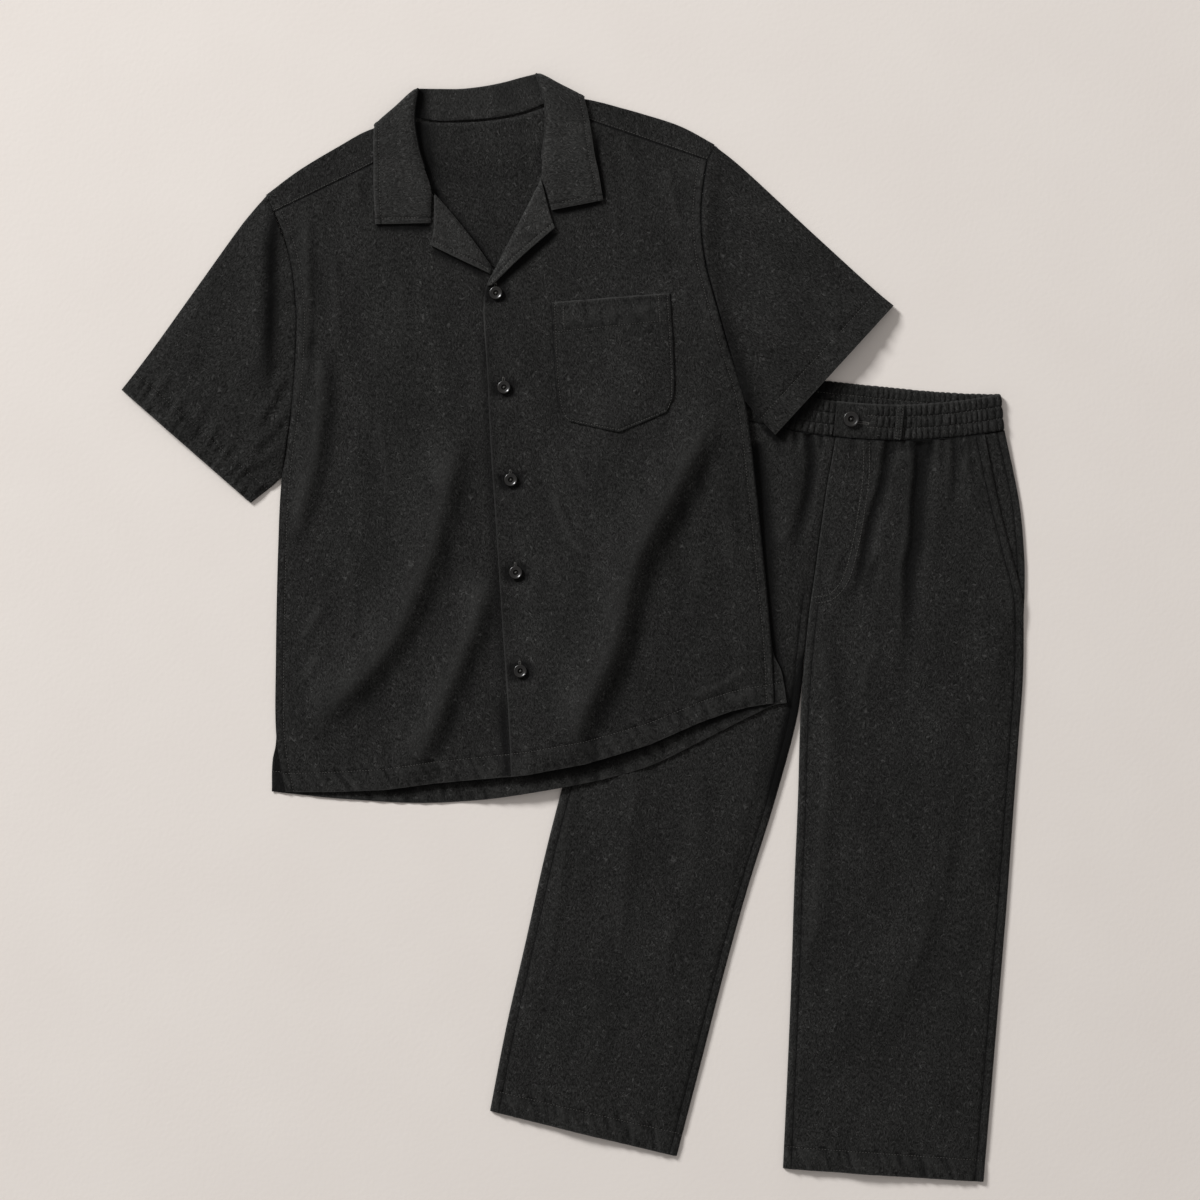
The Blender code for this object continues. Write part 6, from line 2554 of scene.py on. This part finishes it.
def make_shirt(finishes: Finishes) -> None:
    """Builds every piece of the shirt.

    Args:
        finishes: the set's materials.
    """
    shirt = Shirt(finishes)
    shirt.make_back()
    shirt.make_fronts()
    shirt.make_buttonholes()
    Sleeve(
        shirt,
        Side.RIGHT,
        ((-239, -58.5), (-258, -76.5), (-274, -93), (-324, -149.5), (-376, -208), (-413, -247)),
        ((-254, -357), (-270, -367.5), (-290, -380)),
        (
            Fold(((-240, -70), (-247, -124), (-254, -167), (-258, -221), (-260, -275)), 4.8, 20, 8),
            Fold(((-276, -100), (-318, -152), (-352, -192), (-384, -228)), 1.6, 9, 7),
            Fold(((-300, -120), (-322, -180), (-334, -240)), 1.0, 12, 8),
            Fold(((-380, -240), (-366, -262), (-350, -268)), 1.4, 8, 6),
            Fold(((-262, -262), (-276, -310), (-292, -350)), 1.4, 12, 9),
            Fold(((-358.4, -233.4), (-373.3, -253.2), (-381.9, -273.6)), 2.0, 6, 4),
            Fold(((-343.8, -256.3), (-356.3, -274.2), (-367, -294.4)), 1.5, 5, 4),
            Fold(((-327.3, -271.9), (-341, -290.7), (-349.6, -311.1)), 1.6, 5, 4),
            Fold(((-311.9, -287.4), (-323.6, -307.4), (-332.1, -327.9)), 1.4, 5, 4),
            Fold(((-295.5, -304), (-308.3, -324), (-316.6, -342.3)), 1.4, 5, 4),
            Fold(((-237.2, -246.2), (-256.3, -276.1), (-276.1, -301.8)), 2.2, 7, 4.5),
            Fold(((-238, -284.5), (-259.7, -307.8), (-285.1, -326.4)), 2.0, 6, 4.5),
            Fold(((-243.7, -318), (-266.8, -334.7), (-297.8, -346.4)), 1.8, 6, 4.5),
        ),
        (
            Fold(
                (
                    (-224, -60), (-230.4, -79.6), (-239.5, -115.9), (-245, -168.6),
                    (-253.2, -215.7), (-260.2, -252.3), (-268.9, -294),
                ),
                0.95, 8, 8, (0.12, 0.45),
            ),
        ),
        Border(joined=True, drop=0.5, valley=0.45),
    ).make()
    Sleeve(
        shirt,
        Side.LEFT,
        ((238, -55), (267, -84), (328, -154), (390, -224), (409, -244)),
        ((242, -328), (255, -347), (270, -367)),
        (
            Fold(
                ((231, -66), (226, -110), (219, -150), (219, -190), (226, -240), (236, -290), (246, -335)),
                4.5, 8, 9, (0.06, 0.05),
            ),
            Fold(((262, -96), (282, -160), (290, -230), (286, -300)), 1.8, 26, 22),
            Fold(((292, -120), (318, -170), (334, -220)), 0.9, 14, 8),
            Fold(((330, -180), (346, -220), (352, -262)), 0.9, 12, 8),
        ),
        (
            Fold(
                (
                    (213.1, -190.1), (218.2, -233.3), (224.9, -271.3),
                    (235.7, -309.7), (245.8, -346), (252.2, -365.8),
                ),
                0.95, 2, 13, (0.3, 0.02),
            ),
        ),
        Border(joined=True, drop=0.6),
    ).make()
    CollarPiece(shirt).make()
    LapelPiece(
        shirt,
        Side.RIGHT,
        ((-62, -75), (-46, -98), (-28, -126), (-9, -160)),
        ((-62, -75), (-65.5, -110.5), (-72, -129)),
        ((-72, -129), (-45, -146), (-12, -166)),
        stand_off=1.4,
    ).make()
    LapelPiece(
        shirt,
        Side.LEFT,
        ((52, -72.5), (25, -114), (-4, -158), (-17, -179)),
        ((52, -72.5), (57, -108), (61, -125)),
        ((61, -125), (24, -151), (-11, -178)),
        stand_off=2.4,
    ).make()
    PocketPiece(shirt).make()
    for number in range(1, len(SHIRT_BUTTONS) + 1):
        node = f"shirt_button_{number}"
        ButtonPiece(f"{node}_resin", node, 7.0, finishes, spin=20 + 31 * number).make()
    stitches = shirt.threads.build("shirt_stitches", finishes.thread)
    finish_piece(stitches, LINEN_SLOT)
    log.info("shirt_stitches: %d points", len(stitches.data.vertices))


def make_trousers(finishes: Finishes) -> None:
    """Builds every piece of the trousers.

    Args:
        finishes: the set's materials.
    """
    trousers = Trousers(finishes)
    trousers.make_leg(Side.LEFT)
    trousers.make_leg(Side.RIGHT)
    trousers.make_pocket_facing()
    trousers.make_fly()
    WaistbandPiece(trousers).make()
    BeltLoopPiece(trousers).make()
    ButtonPiece("trouser_button_resin", "trouser_button", 8.4, finishes, spin=48).make()
    stitches = trousers.threads.build("trouser_stitches", finishes.thread)
    finish_piece(stitches, LINEN_SLOT)
    log.info("trouser_stitches: %d points", len(stitches.data.vertices))


def main() -> None:
    """Dresses the frame."""
    logging.basicConfig(level=logging.INFO, format="%(name)s: %(message)s")
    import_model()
    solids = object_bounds()
    finishes = Finishes.make()
    Studio().make()
    make_trousers(finishes)
    make_shirt(finishes)
    boxes = {"cad": solids, "visual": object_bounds()}
    {name: [[float(x) for x in corner] for corner in box] for name, box in boxes.items()}


if __name__ == "__main__":
    main()
